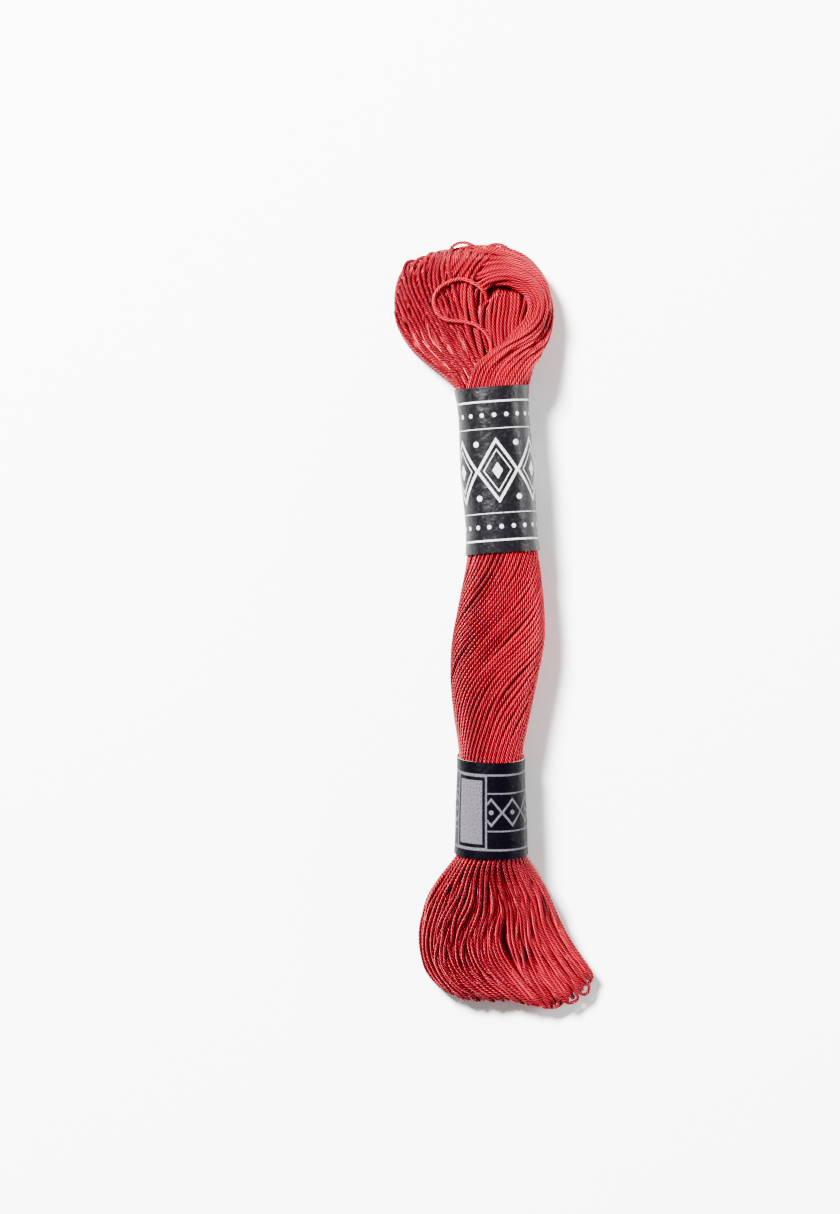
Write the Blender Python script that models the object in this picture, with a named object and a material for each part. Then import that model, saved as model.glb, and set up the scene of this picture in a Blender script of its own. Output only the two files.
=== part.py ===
"""Skein of embroidery floss: a wound hank of cotton thread, two paper bands and a slack loop of thread.

Metres, +Z up. The skein lies on the plane Z = 0 with its length along Y: its round head
is at +Y, its fanned foot at -Y. The origin is on the flat underside, below the middle.
The section tables are in millimetres.
"""

import math
from collections import namedtuple

import bpy
import numpy as np

MM = 0.001
THREAD_DIAMETER = 0.80
BAND_WALL = 0.5
BAND_GAP = 0.36  # between the thread and the inside of a band

RING_POINTS = 44
LONGEST_STEP = 2.3  # between two rings of the hank, along Y
BAND_RINGS = 5
MAIN_STRANDS = 6  # the bundles whose twist shows in the hank's surface
FLATNESS = 2.3  # the exponent of a section's outline: 2 is an ellipse
SLUMP_FROM = 0.0  # left of this the top of the head sinks, over this width
SLUMP_OVER = 6.0

# The hank's sections, from the foot to the head: where the section stands, its left and
# right side, its underside and top, how far it leans in plan, how far the main strands
# have turned, how proud they stand, and the share of its height that the left side has
# sunk by. An underside below 0 is pressed flat.
Section = namedtuple("Section", "y left right low high lean twist ridge slump")
SECTIONS = [
    Section(-79.4, 9.6, 13.4, 1.6, 4.2, 0, -60, 0.00, 0.00),
    Section(-78.9, 6.5, 15.2, 0.8, 5.2, 0, -60, 0.10, 0.00),
    Section(-77.9, -4.2, 16.8, 0.2, 6.0, 0, -58, 0.20, 0.00),
    Section(-76.6, -7.8, 18.6, -0.2, 6.5, 0, -56, 0.30, 0.00),
    Section(-74.3, -11.0, 20.1, -0.4, 6.9, 0, -54, 0.35, 0.00),
    Section(-71.5, -13.6, 20.2, -0.4, 7.4, 0, -52, 0.35, 0.00),
    Section(-68.0, -14.7, 18.2, -0.4, 8.0, 0, -50, 0.35, 0.00),
    Section(-64.0, -14.8, 15.4, -0.4, 9.0, 0, -47, 0.35, 0.00),
    Section(-59.5, -13.8, 13.2, -0.3, 10.3, 0, -44, 0.35, 0.00),
    Section(-55.0, -11.9, 11.2, 0.0, 12.0, 0, -40, 0.30, 0.00),
    Section(-51.2, -9.4, 9.0, 0.5, 13.6, 0, -37, 0.15, 0.00),
    Section(-48.9, -7.3, 6.9, 0.86, 14.3, -1, -35, 0.00, 0.00),
    Section(-46.0, -7.1, 6.7, 0.86, 14.3, -1, -33, 0.00, 0.00),
    Section(-29.0, -6.6, 6.1, 0.86, 14.3, -1, -17, 0.00, 0.00),
    Section(-26.0, -6.7, 6.2, 0.86, 14.3, -1, -12, 0.00, 0.00),
    Section(-23.0, -7.3, 7.1, 0.5, 14.2, 0, 0, 0.20, 0.00),
    Section(-18.2, -8.1, 8.1, 0.0, 14.2, 0, 20, 0.50, 0.00),
    Section(-11.0, -8.8, 9.7, -0.4, 14.2, 1, 65, 0.60, 0.00),
    Section(-3.6, -8.5, 11.1, -0.5, 14.2, 2, 115, 0.60, 0.00),
    Section(3.4, -7.2, 11.0, -0.4, 14.2, 3, 160, 0.55, 0.00),
    Section(9.5, -5.8, 10.3, 0.0, 14.3, 4, 185, 0.40, 0.00),
    Section(13.0, -4.7, 9.2, 0.86, 14.5, 4, 196, 0.00, 0.00),
    Section(15.4, -4.8, 9.1, 0.86, 14.5, 4, 200, 0.00, 0.00),
    Section(32.0, -5.9, 8.0, 0.86, 14.5, 4, 214, 0.00, 0.00),
    Section(48.0, -7.0, 6.9, 0.86, 14.5, 4, 221, 0.00, 0.00),
    Section(49.7, -7.3, 7.0, 0.86, 14.5, 4, 222, 0.00, 0.00),
    Section(51.4, -11.0, 8.0, 0.5, 14.1, 3, 224, 0.15, 0.20),
    Section(53.6, -15.6, 8.9, 0.2, 13.7, 1, 226, 0.30, 0.34),
    Section(56.8, -18.6, 10.3, -0.2, 12.8, 0, 228, 0.35, 0.42),
    Section(60.6, -20.0, 11.6, -0.4, 11.8, 0, 230, 0.35, 0.44),
    Section(66.0, -20.2, 12.3, -0.4, 11.2, 0, 232, 0.35, 0.42),
    Section(70.2, -19.2, 12.0, -0.4, 10.5, 0, 234, 0.35, 0.40),
    Section(73.2, -17.2, 10.6, -0.3, 9.6, 0, 236, 0.30, 0.36),
    Section(75.6, -14.3, 8.4, 0.0, 8.0, 0, 237, 0.30, 0.28),
    Section(77.4, -11.2, 5.4, 0.4, 6.2, 0, 238, 0.20, 0.15),
    Section(78.6, -8.2, 1.4, 1.2, 4.8, 0, 239, 0.10, 0.05),
    Section(79.1, -5.8, -1.6, 2.0, 4.0, 0, 240, 0.00, 0.00),
]

# Troughs in the top of the hank, each along a line in plan: the eye that the head's
# loops leave open, and the parting between the foot's two groups.
Hollow = namedtuple("Hollow", "from_x from_y to_x to_y half_width depth")
HOLLOWS = [
    Hollow(2.6, 68.2, 4.6, 61.4, 3.3, 4.2),
    Hollow(2.4, -58.0, 3.4, -68.0, 1.3, 1.6),
]

# The paper bands: where each begins and ends along the hank.
Band = namedtuple("Band", "name foot_end head_end")
BANDS = [
    Band("band_lower", -47.6, -27.6),
    Band("band_upper", 14.6, 49.0),
]

# The slack loop of thread that lies on the head, from the eye round to the neck.
Point = namedtuple("Point", "x y z")
SLACK_LOOP = [
    Point(-1.2, 68.1, 9.8),
    Point(-1.7, 69.1, 9.8),
    Point(-2.6, 70.0, 9.45),
    Point(-4.2, 70.9, 8.65),
    Point(-7.1, 71.6, 7.4),
    Point(-9.2, 70.9, 7.1),
    Point(-11.0, 69.7, 7.1),
    Point(-12.1, 67.6, 7.1),
    Point(-11.9, 65.7, 7.15),
    Point(-11.0, 64.2, 7.2),
    Point(-9.6, 63.2, 7.2),
    Point(-7.6, 62.9, 7.45),
    Point(-5.2, 62.6, 8.55),
    Point(-3.1, 61.9, 10.05),
    Point(-1.6, 60.7, 11.4),
    Point(-0.7, 59.4, 12.05),
    Point(-0.3, 57.9, 12.8),
    Point(-0.3, 56.4, 13.3),
    Point(-0.5, 54.8, 13.75),
]
LOOP_SPACING = 2.2 * THREAD_DIAMETER

THREAD_RED = (0.745, 0.058, 0.066, 1.0)
PAPER_BLACK = (0.016, 0.014, 0.020, 1.0)


def clear_scene():
    for obj in list(bpy.data.objects):
        bpy.data.objects.remove(obj, do_unlink=True)


def make_material(name, color, roughness):
    material = bpy.data.materials.new(name)
    material.use_nodes = True
    shader = material.node_tree.nodes["Principled BSDF"]
    shader.inputs["Base Color"].default_value = color
    shader.inputs["Roughness"].default_value = roughness
    shader.inputs["Metallic"].default_value = 0.0
    return material


def through(knots, values, at):
    """Values at the places asked for, on a smooth curve through the table's rows.

    It never swings past a row: where the rows turn back, the curve runs level.
    """
    rises = np.diff(values, axis=0) / np.diff(knots)[:, None]
    before, after = rises[:-1], rises[1:]
    same_way = before * after > 0
    total = np.where(same_way, before + after, 1.0)
    inner = np.where(same_way, 2 * before * after / total, 0.0)
    slopes = np.concatenate([rises[:1], inner, rises[-1:]])
    row = np.clip(np.searchsorted(knots, at, side="right") - 1, 0, len(knots) - 2)
    span = knots[row + 1] - knots[row]
    t = ((at - knots[row]) / span)[:, None]
    start = values[row]
    end = values[row + 1]
    start_slope = slopes[row] * span[:, None]
    end_slope = slopes[row + 1] * span[:, None]
    return (
        start * (2 * t**3 - 3 * t**2 + 1)
        + start_slope * (t**3 - 2 * t**2 + t)
        + end * (3 * t**2 - 2 * t**3)
        + end_slope * (t**3 - t**2)
    )


def sections_at(places):
    """The hank's sections at these places along Y."""
    rows = np.array(SECTIONS, float)
    return [Section(*row) for row in through(rows[:, 0], rows, np.asarray(places, float))]


def ring_of(section, outwards=0.0):
    """A closed ring of points round a section, counter-clockwise seen from the foot."""
    angle = np.linspace(0, 2 * math.pi, RING_POINTS, endpoint=False)
    strands = np.cos(MAIN_STRANDS * (angle + math.radians(section.twist)))
    proud = outwards + section.ridge * strands
    across, up = np.cos(angle), np.sin(angle)
    round_off = 2 / FLATNESS
    half_width = (section.right - section.left) / 2 + proud
    half_height = (section.high - section.low) / 2 + proud
    side = half_width * np.sign(across) * np.abs(across) ** round_off
    height = half_height * np.sign(up) * np.abs(up) ** round_off
    lean = math.radians(section.lean)
    x = (section.right + section.left) / 2 + side * math.cos(lean)
    y = section.y + side * math.sin(lean)
    z = (section.high + section.low) / 2 + height
    sunk = section.slump * np.clip((SLUMP_FROM - x) / SLUMP_OVER, 0, 1)
    return np.stack([x, y, z * (1 - np.where(z > 0, sunk, 0))], axis=1)


def press_hollows(points, section):
    """Lowers the points of a ring's upper half that lie in a hollow."""
    middle = (section.high + section.low) / 2
    for hollow in HOLLOWS:
        start = np.array([hollow.from_x, hollow.from_y])
        run = np.array([hollow.to_x, hollow.to_y]) - start
        share = np.clip((points[:, :2] - start) @ run / (run @ run), 0, 1)
        aside = np.linalg.norm(points[:, :2] - start - share[:, None] * run, axis=1)
        drop = hollow.depth * np.exp(-((aside / hollow.half_width) ** 4))
        above = np.clip((points[:, 2] - middle) / 2, 0, 1)
        points[:, 2] -= drop * above
    return points


def loft(name, rings, joined, material):
    """A mesh object through equal rings: capped at its ends, or joined from last to first."""
    count = len(rings)
    vertices = np.concatenate(rings) * MM
    faces = []
    for row in range(count if joined else count - 1):
        here, there = row * RING_POINTS, (row + 1) % count * RING_POINTS
        for i in range(RING_POINTS):
            j = (i + 1) % RING_POINTS
            faces.append((here + j, here + i, there + i, there + j))
    if not joined:
        last = (count - 1) * RING_POINTS
        faces.append(tuple(range(RING_POINTS)))
        faces.append(tuple(last + i for i in reversed(range(RING_POINTS))))
    mesh = bpy.data.meshes.new(name)
    mesh.from_pydata(vertices.tolist(), [], faces)
    mesh.materials.append(material)
    mesh.shade_smooth()
    obj = bpy.data.objects.new(name, mesh)
    return obj


def make_hank(material):
    """The wound thread as one solid, pressed flat where it lies on the table."""
    places = [SECTIONS[0].y]
    for here, there in zip(SECTIONS, SECTIONS[1:]):
        steps = math.ceil((there.y - here.y) / LONGEST_STEP)
        places.extend(np.linspace(here.y, there.y, steps + 1)[1:])
    rings = []
    for section in sections_at(places):
        ring = press_hollows(ring_of(section), section)
        ring[:, 2] = np.maximum(ring[:, 2], 0.0)
        rings.append(ring)
    return loft("hank", rings, joined=False, material=material)


def make_band(band, material):
    """A paper sleeve that follows the neck of the hank all round."""
    places = np.linspace(band.foot_end, band.head_end, BAND_RINGS)
    sections = sections_at(places)
    outer = [ring_of(s, BAND_GAP + BAND_WALL) for s in sections]
    inner = [ring_of(s, BAND_GAP) for s in reversed(sections)]
    return loft(band.name, outer + inner, joined=True, material=material)


def make_slack_loop(material):
    """One loose thread as a round tube on a smooth route through the loop's points."""
    points = np.array(SLACK_LOOP, float)
    steps = np.linalg.norm(np.diff(points, axis=0), axis=1)
    along = np.concatenate([[0.0], np.cumsum(steps)])
    count = round(along[-1] / LOOP_SPACING) + 1
    route = through(along, points, np.linspace(0, along[-1], count)) * MM
    curve = bpy.data.curves.new("slack_loop", "CURVE")
    curve.dimensions = "3D"
    curve.bevel_depth = THREAD_DIAMETER / 2 * MM
    curve.bevel_resolution = 2
    curve.use_fill_caps = True
    spline = curve.splines.new("POLY")
    spline.points.add(count - 1)
    for point, place in zip(spline.points, route):
        point.co = (*place, 1.0)
    curve.materials.append(material)
    return bpy.data.objects.new("slack_loop", curve)


def main():
    clear_scene()
    skein = bpy.data.collections.new("Skein of floss")
    bpy.context.scene.collection.children.link(skein)
    cotton = make_material("Cotton thread", THREAD_RED, 0.45)
    paper = make_material("Coated paper", PAPER_BLACK, 0.35)
    skein.objects.link(make_hank(cotton))
    for band in BANDS:
        skein.objects.link(make_band(band, paper))
    skein.objects.link(make_slack_loop(cotton))


main()
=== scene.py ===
"""Skein of embroidery floss: wound cotton thread, two paper bands and a slack loop.

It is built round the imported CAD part.
Laid out as an add-on and run as a script. Tables are in millimetres, in the part's frame:
+Y is the head, -Y the foot, +Z up from the surface that the skein lies on.
"""

import math
from collections import namedtuple

import bpy
import numpy as np
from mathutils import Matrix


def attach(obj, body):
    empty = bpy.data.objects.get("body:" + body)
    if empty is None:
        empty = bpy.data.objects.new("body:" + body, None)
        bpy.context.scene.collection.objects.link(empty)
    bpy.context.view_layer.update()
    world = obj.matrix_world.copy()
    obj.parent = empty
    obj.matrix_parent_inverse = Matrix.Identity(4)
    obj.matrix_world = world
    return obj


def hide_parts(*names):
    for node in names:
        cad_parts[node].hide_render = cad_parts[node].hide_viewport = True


bl_info = {
    "name": "Skein of embroidery floss",
    "version": (1, 0, 0),
    "blender": (4, 5, 0),
    "location": "View3D > Sidebar > Skein",
    "description": "Builds the thread, the paper bands and the studio of a skein of floss",
    "category": "Object",
}

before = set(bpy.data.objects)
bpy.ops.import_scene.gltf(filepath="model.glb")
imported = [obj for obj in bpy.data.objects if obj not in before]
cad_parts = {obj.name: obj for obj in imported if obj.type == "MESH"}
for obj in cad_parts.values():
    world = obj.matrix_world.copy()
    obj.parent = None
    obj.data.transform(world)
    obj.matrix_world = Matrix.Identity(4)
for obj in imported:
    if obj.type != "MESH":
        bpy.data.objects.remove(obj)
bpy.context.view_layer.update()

MM = 0.001
GOLDEN_ANGLE = math.pi * (3 - math.sqrt(5))

# How the neck and the middle of the hank are filled: the outline of the thread at each
# place along the skein, and how far the strands have turned round the skein's axis.
Section = namedtuple("Section", "y left right low high turned")
SECTIONS = [
    Section(-48.9, -7.7, 7.3, 0.45, 14.65, 206),
    Section(-46.0, -7.5, 7.1, 0.4, 14.7, 204),
    Section(-38.0, -7.3, 6.8, 0.4, 14.7, 200),
    Section(-29.0, -7.0, 6.5, 0.4, 14.7, 193),
    Section(-26.0, -7.1, 6.6, 0.4, 14.6, 188),
    Section(-23.0, -7.5, 7.2, 0.3, 14.4, 179),
    Section(-18.2, -8.2, 8.2, 0.1, 14.3, 164),
    Section(-11.0, -8.8, 9.7, 0.0, 14.2, 137),
    Section(-3.6, -8.5, 11.1, 0.0, 14.2, 99),
    Section(3.4, -7.2, 11.0, 0.0, 14.2, 60),
    Section(9.5, -6.0, 10.4, 0.2, 14.4, 31),
    Section(13.0, -5.4, 9.9, 0.4, 14.7, 18),
    Section(15.4, -5.2, 9.5, 0.4, 14.9, 11),
    Section(32.0, -6.3, 8.4, 0.4, 14.9, 0),
    Section(48.0, -7.4, 7.3, 0.4, 14.9, 0),
    Section(49.7, -7.8, 7.4, 0.4, 14.8, 0),
]
FLATNESS = 2.3  # the exponent of a section's outline: 2 is an ellipse
HEAD_CUT = 30.0  # the thread's pieces meet inside the bands, out of sight
FOOT_CUT = -38.0
LINE_STEP = 0.6  # between the points of a strand's line
NECK_BLEND = (42.0, 52.0)  # where the head's bundles leave the neck's packing
LOOSE_FROM = (50.0, 58.0)  # and where their strands begin to wander
WEDGES = 7  # the middle's strands wander in this many groups round its outside, and inside

# The paper bands: where each begins and ends along the hank, how far its edges lean across
# and tip over the height, in degrees, and how much of the coating's shine is left, which also
# scales a painted sheen on the black.
Band = namedtuple("Band", "name foot_end head_end lean tip gloss")
BANDS = [
    Band("lower", -47.6, -27.6, -1, -10, 0.035),
    Band("upper", 14.6, 49.0, 4, 1, 0.17),
]
BAND_STRETCHES = [(band.foot_end, band.head_end) for band in BANDS]
MIDDLE_STRETCH = [(FOOT_CUT, HEAD_CUT)]
PAPER_OUT = 0.34  # the paper's outer face stands this far outside the thread
PAPER_WALL = 0.15
PAPER_LAP = 6.0  # the glued end of a band lies this far over its beginning
PAPER_RELIEF = 0.22 * MM  # how deep the paper cockles over the thread
LAP_RISE = 0.03  # clear space between the two layers of the lap
LAP_SPRING = 0.05  # the share of a turn over which the tucked beginning comes out again

# What is printed on the bands, in millimetres from the middle of the front and the foot-side
# edge: a rule, a row of dots or lozenges, or a panel. A mark with no weight is solid, and a
# cut one is left out of the ink.
Mark = namedtuple("Mark", "kind x y pitch wide high weight cut")
PRINTS = {
    "upper": [
        Mark("rule", 0, 2.6, 0, 0, 0, 0.36, False),
        Mark("rule", 0, 31.3, 0, 0, 0, 0.36, False),
        Mark("rule", 0, 8.2, 0, 0, 0, 0.16, False),
        Mark("rule", 0, 25.7, 0, 0, 0, 0.16, False),
        Mark("dots", 0, 5.4, 2.6, 0.9, 0.9, 0, False),
        Mark("dots", 0, 28.5, 2.6, 0.9, 0.9, 0, False),
        Mark("lozenges", 0, 17.0, 8.6, 8.4, 12.6, 0.30, False),
        Mark("lozenges", 0, 17.0, 8.6, 5.8, 8.6, 0.12, False),
        Mark("lozenges", 0, 17.0, 8.6, 2.2, 3.4, 0, False),
        Mark("dots", 4.3, 22.6, 8.6, 1.2, 1.2, 0, False),
        Mark("dots", 4.3, 11.4, 8.6, 1.2, 1.2, 0, False),
    ],
    "lower": [
        Mark("rule", 0, 1.9, 0, 0, 0, 0.4, False),
        Mark("rule", 0, 17.4, 0, 0, 0, 0.4, False),
        Mark("lozenges", 0, 9.7, 4.6, 4.5, 5.4, 0.26, False),
        Mark("dots", 0, 9.7, 4.6, 1.0, 1.0, 0, False),
        Mark("rule", 0, 13.6, 0, 0, 0, 0.3, False),
        Mark("rule", 0, 5.8, 0, 0, 0, 0.3, False),
        Mark("panel", -4.6, 9.65, 0, 7.6, 15.0, 0, True),
        Mark("panel", -4.6, 9.65, 0, 7.0, 15.1, 0.4, False),
        Mark("panel", -4.6, 9.65, 0, 5.4, 13.2, 0, False),
    ],
}

# The head's loops run in four bundles, each from the neck up the left limb, round the
# eye, and down the right limb: the middle of the bundle, its half width in plan and half
# thickness, how far its section leans over, and which way its width points in plan.
Bundle = namedtuple("Bundle", "x y z wide thick roll facing")
FRONT_BUNDLE = [
    Bundle(-1.9, 30.0, 5.6, 4.0, 2.4, 0, 180),
    Bundle(-2.6, 40.0, 5.6, 4.0, 2.4, 0, 180),
    Bundle(-3.2, 47.0, 5.6, 4.0, 2.4, 0, 180),
    Bundle(-4.6, 51.0, 5.6, 5.2, 1.9, -4, 180),
    Bundle(-7.0, 54.5, 5.0, 7.2, 1.4, -8, 180),
    Bundle(-9.3, 58.5, 4.3, 8.9, 1.15, -12, 180),
    Bundle(-10.6, 63.0, 3.8, 9.3, 1.05, -14, 180),
    Bundle(-10.6, 67.0, 3.8, 9.2, 1.05, -16, 178),
    Bundle(-9.6, 70.7, 4.1, 8.8, 1.15, -20, 168),
    Bundle(-6.1, 73.0, 4.6, 7.2, 1.4, -26, 149),
    Bundle(-2.8, 74.0, 5.2, 5.7, 1.7, -34, 131),
    Bundle(1.0, 74.2, 5.9, 4.5, 2.0, -44, 106),
    Bundle(4.3, 73.4, 6.4, 3.9, 2.2, -52, 82),
    Bundle(7.1, 71.9, 6.6, 3.9, 2.2, -60, 62),
    Bundle(9.1, 69.8, 6.7, 4.0, 2.1, -68, 42),
    Bundle(10.0, 67.0, 6.8, 4.1, 2.0, -74, 20),
    Bundle(10.0, 64.2, 7.0, 4.1, 2.0, -70, 4),
    Bundle(9.1, 61.4, 7.5, 4.0, 2.1, -58, -5),
    Bundle(7.6, 59.0, 8.4, 3.8, 2.4, -40, -8),
    Bundle(5.9, 57.0, 9.8, 4.3, 2.2, -18, -9),
    Bundle(3.9, 54.8, 11.2, 5.3, 1.8, -5, -7),
    Bundle(2.0, 52.2, 12.1, 6.1, 1.6, 0, -6),
    Bundle(1.0, 49.5, 12.4, 6.0, 1.6, 0, -3),
    Bundle(0.5, 47.0, 12.4, 5.8, 1.6, 0, 0),
    Bundle(0.9, 40.0, 12.4, 5.8, 1.6, 0, 0),
    Bundle(1.6, 30.0, 12.4, 5.8, 1.6, 0, 0),
]
UPPER_BUNDLE = [
    Bundle(-2.3, 30.0, 9.0, 3.8, 1.4, 0, 180),
    Bundle(-3.0, 40.0, 9.0, 3.8, 1.4, 0, 180),
    Bundle(-3.6, 47.0, 9.0, 3.8, 1.4, 0, 180),
    Bundle(-5.0, 51.0, 8.5, 4.9, 1.1, -8, 180),
    Bundle(-7.0, 54.5, 7.3, 6.8, 0.85, -12, 180),
    Bundle(-9.2, 58.5, 6.1, 8.6, 0.7, -14, 180),
    Bundle(-10.5, 63.0, 5.4, 9.0, 0.65, -15, 180),
    Bundle(-10.8, 67.0, 5.3, 8.7, 0.65, -15, 182),
    Bundle(-10.4, 70.4, 5.4, 8.2, 0.65, -14, 187),
    Bundle(-8.9, 73.5, 5.6, 8.0, 0.7, -11, 186),
    Bundle(-7.2, 75.8, 5.2, 7.8, 0.8, -6, 184),
    Bundle(-6.2, 76.9, 3.6, 7.4, 0.8, 0, 181),
    Bundle(-5.6, 76.2, 1.8, 7.0, 0.8, 0, 176),
    Bundle(-4.2, 75.2, 0.9, 6.2, 0.8, 0, 163),
    Bundle(-1.4, 74.9, 0.8, 5.0, 0.9, 0, 136),
    Bundle(1.8, 74.6, 0.9, 3.9, 1.2, 0, 106),
    Bundle(4.8, 73.9, 1.0, 3.5, 1.3, 0, 76),
    Bundle(8.0, 70.6, 1.2, 3.2, 1.4, 0, 40),
    Bundle(9.1, 66.0, 1.7, 2.9, 1.6, 0, 10),
    Bundle(8.5, 61.0, 2.6, 2.8, 1.75, 0, 0),
    Bundle(7.0, 56.5, 4.6, 2.6, 1.9, 0, 0),
    Bundle(5.6, 52.0, 6.8, 2.4, 2.0, 0, 0),
    Bundle(5.0, 47.0, 8.2, 2.3, 2.1, 0, 0),
    Bundle(5.6, 40.0, 8.2, 2.3, 2.1, 0, 0),
    Bundle(6.3, 30.0, 8.2, 2.3, 2.1, 0, 0),
]
BACK_BUNDLE = [
    Bundle(0.6, 30.0, 2.6, 5.0, 1.8, 0, 180),
    Bundle(-0.1, 40.0, 2.6, 5.0, 1.8, 0, 180),
    Bundle(-0.6, 47.0, 2.6, 5.0, 1.8, 0, 180),
    Bundle(-2.4, 51.5, 2.4, 5.8, 1.5, 0, 180),
    Bundle(-5.6, 55.5, 1.8, 7.0, 1.3, 0, 180),
    Bundle(-8.8, 60.0, 1.4, 8.3, 1.1, 0, 180),
    Bundle(-10.3, 64.5, 1.2, 8.7, 1.05, 0, 180),
    Bundle(-9.4, 68.8, 1.3, 8.1, 1.1, 0, 166),
    Bundle(-6.6, 71.8, 2.0, 6.0, 1.4, 0, 143),
    Bundle(-2.8, 73.2, 2.8, 5.0, 1.6, 0, 116),
    Bundle(1.2, 72.8, 3.8, 4.4, 1.8, 0, 82),
    Bundle(3.1, 70.6, 4.8, 4.8, 1.7, 0, 45),
    Bundle(2.8, 67.0, 5.4, 5.6, 1.5, 0, 10),
    Bundle(2.5, 62.8, 5.6, 5.7, 1.5, 0, 0),
    Bundle(2.9, 58.5, 5.5, 5.0, 1.7, 0, 0),
    Bundle(3.3, 54.5, 5.6, 4.0, 2.1, 0, 0),
    Bundle(3.6, 51.0, 5.4, 3.2, 2.7, 0, 0),
    Bundle(3.8, 47.0, 5.2, 2.9, 3.0, 0, 0),
    Bundle(4.5, 40.0, 5.2, 2.9, 3.0, 0, 0),
    Bundle(5.2, 30.0, 5.2, 2.9, 3.0, 0, 0),
]
CORE_BUNDLE = [
    Bundle(-1.8, 30.0, 3.0, 1.8, 1.2, 0, 180),
    Bundle(-2.2, 40.0, 3.0, 1.8, 1.2, 0, 180),
    Bundle(-2.6, 47.0, 3.0, 1.8, 1.2, 0, 180),
    Bundle(-2.9, 52.0, 3.0, 2.2, 1.1, 0, 180),
    Bundle(-3.2, 58.0, 2.8, 2.8, 1.0, 0, 180),
    Bundle(-3.0, 64.0, 2.8, 2.8, 1.0, 0, 178),
    Bundle(-2.6, 68.4, 3.2, 2.2, 1.1, 0, 160),
    Bundle(-1.4, 70.6, 3.8, 1.8, 1.2, 0, 120),
    Bundle(0.2, 71.2, 4.4, 1.6, 1.3, 0, 80),
    Bundle(0.9, 69.6, 4.8, 1.9, 1.2, 0, 40),
    Bundle(0.3, 66.8, 5.0, 2.4, 1.0, 0, 8),
    Bundle(-0.2, 62.0, 5.2, 2.6, 1.0, 0, 0),
    Bundle(0.0, 57.0, 5.0, 2.4, 1.0, 0, 0),
    Bundle(0.8, 52.0, 4.2, 2.0, 1.1, 0, 0),
    Bundle(1.6, 47.0, 3.2, 1.8, 1.2, 0, 0),
    Bundle(2.2, 40.0, 3.0, 1.8, 1.2, 0, 0),
    Bundle(2.8, 30.0, 3.0, 1.8, 1.2, 0, 0),
]
BUNDLES = [FRONT_BUNDLE, UPPER_BUNDLE, BACK_BUNDLE, CORE_BUNDLE]
BUNDLE_SHARES = [0.40, 0.22, 0.30, 0.08]

# Lines of thread from the lower band to the foot's end, each at equal shares of its
# length, and how far through the fan, from its left edge to its right one, each runs.
Fan = namedtuple("Fan", "place line")
FANS = [
    Fan(0.00, [
        (-8.4, -48.4), (-10.8, -51.9), (-12.8, -55.7), (-14.2, -60.3), (-14.6, -64.8),
        (-14.3, -68.4), (-13.2, -71.4), (-11.1, -73.7), (-8.8, -75.2),
    ]),
    Fan(0.11, [
        (-4.5, -49.3), (-7.5, -54.7), (-9.8, -59.2), (-11.2, -63.0), (-11.9, -66.8), (-11.6, -70.2),
        (-9.9, -73.6), (-7.0, -76.0), (-4.6, -77.0),
    ]),
    Fan(0.23, [
        (-1.4, -49.3), (-4.7, -55.2), (-7.0, -59.2), (-8.8, -63.7), (-9.5, -68.0), (-8.9, -71.5),
        (-6.8, -74.6), (-3.4, -76.8), (-0.6, -77.5),
    ]),
    Fan(0.36, [
        (1.4, -49.4), (-1.4, -55.2), (-3.7, -59.8), (-5.6, -64.3), (-6.2, -67.8), (-5.4, -71.5),
        (-2.9, -74.5), (0.8, -76.5), (3.6, -77.3),
    ]),
    Fan(0.54, [
        (3.6, -49.3), (1.5, -55.7), (0.1, -60.3), (-0.7, -64.8), (0.2, -69.1), (2.2, -72.5),
        (4.7, -75.3), (7.2, -77.5), (9.2, -78.7),
    ]),
    Fan(0.71, [
        (4.8, -49.3), (5.1, -55.7), (5.8, -60.8), (6.3, -65.3), (7.5, -69.6), (9.2, -73.3),
        (11.0, -76.3), (13.0, -79.3),
    ]),
    Fan(0.85, [
        (6.2, -48.9), (7.3, -55.2), (8.4, -60.3), (9.9, -65.1), (12.0, -69.1), (14.3, -72.6),
        (16.2, -75.2), (17.7, -77.2),
    ]),
    Fan(1.00, [
        (7.8, -48.3), (10.1, -52.4), (12.0, -57.2), (14.1, -62.3), (16.3, -66.6), (18.4, -69.7),
        (19.7, -71.7), (20.3, -73.4),
    ]),
]
# The split between the two halves of the fan: its place, and its half width in mm.
Parting = namedtuple("Parting", "place half")
PARTING = Parting(0.618, 0.40)

# The fan's thickness: the share of the way to its end, its middle height and half height.
Depth = namedtuple("Depth", "share middle half")
FOOT_DEPTHS = [
    Depth(0.00, 7.55, 6.75),
    Depth(0.20, 6.00, 5.40),
    Depth(0.40, 4.70, 4.30),
    Depth(0.60, 3.80, 3.50),
    Depth(0.80, 3.20, 3.00),
    Depth(1.00, 2.90, 2.70),
]
FOOT_LAYERS = 5

# The thread's mesh: plies side by side round it, and two points of each ring to a ply.
PLY_RIDGES = 4
RING = 2 * PLY_RIDGES
PLY_RELIEF = 0.40 * MM  # the rounding of each ply, drawn deeper than it is so that it shows
GROOVE_DEPTH = 0.60  # the radius in a groove, as a share of the radius on a ply
BURIED_RADIUS = 0.94  # and where the thread is hidden and its rings are plain
BURIED_STEP = 2.2

SURFACE_LEAN = 0.36  # how far a strand's neighbours lie to one side, in mm, where it shows
ALONE = 0.6  # and for one with no neighbours

# How strands that overlap are pushed apart.
FIRST_ROUNDS = 120  # of evening out a bundle's first section
FIXED_ENDS = 6.0  # each strand's ends stay where they are over this length
CONTACT = 0.955  # how near they may come, as a share of the diameter
MOST_MOVE = 0.35  # in one round
EASE = 0.42  # the share of a push that is taken up at once
CLOSING = 0.35  # the share of a gap to the next strand that a lone one closes
HOLD = 0.006  # the share of a sideways shift that the wound form takes back
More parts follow.
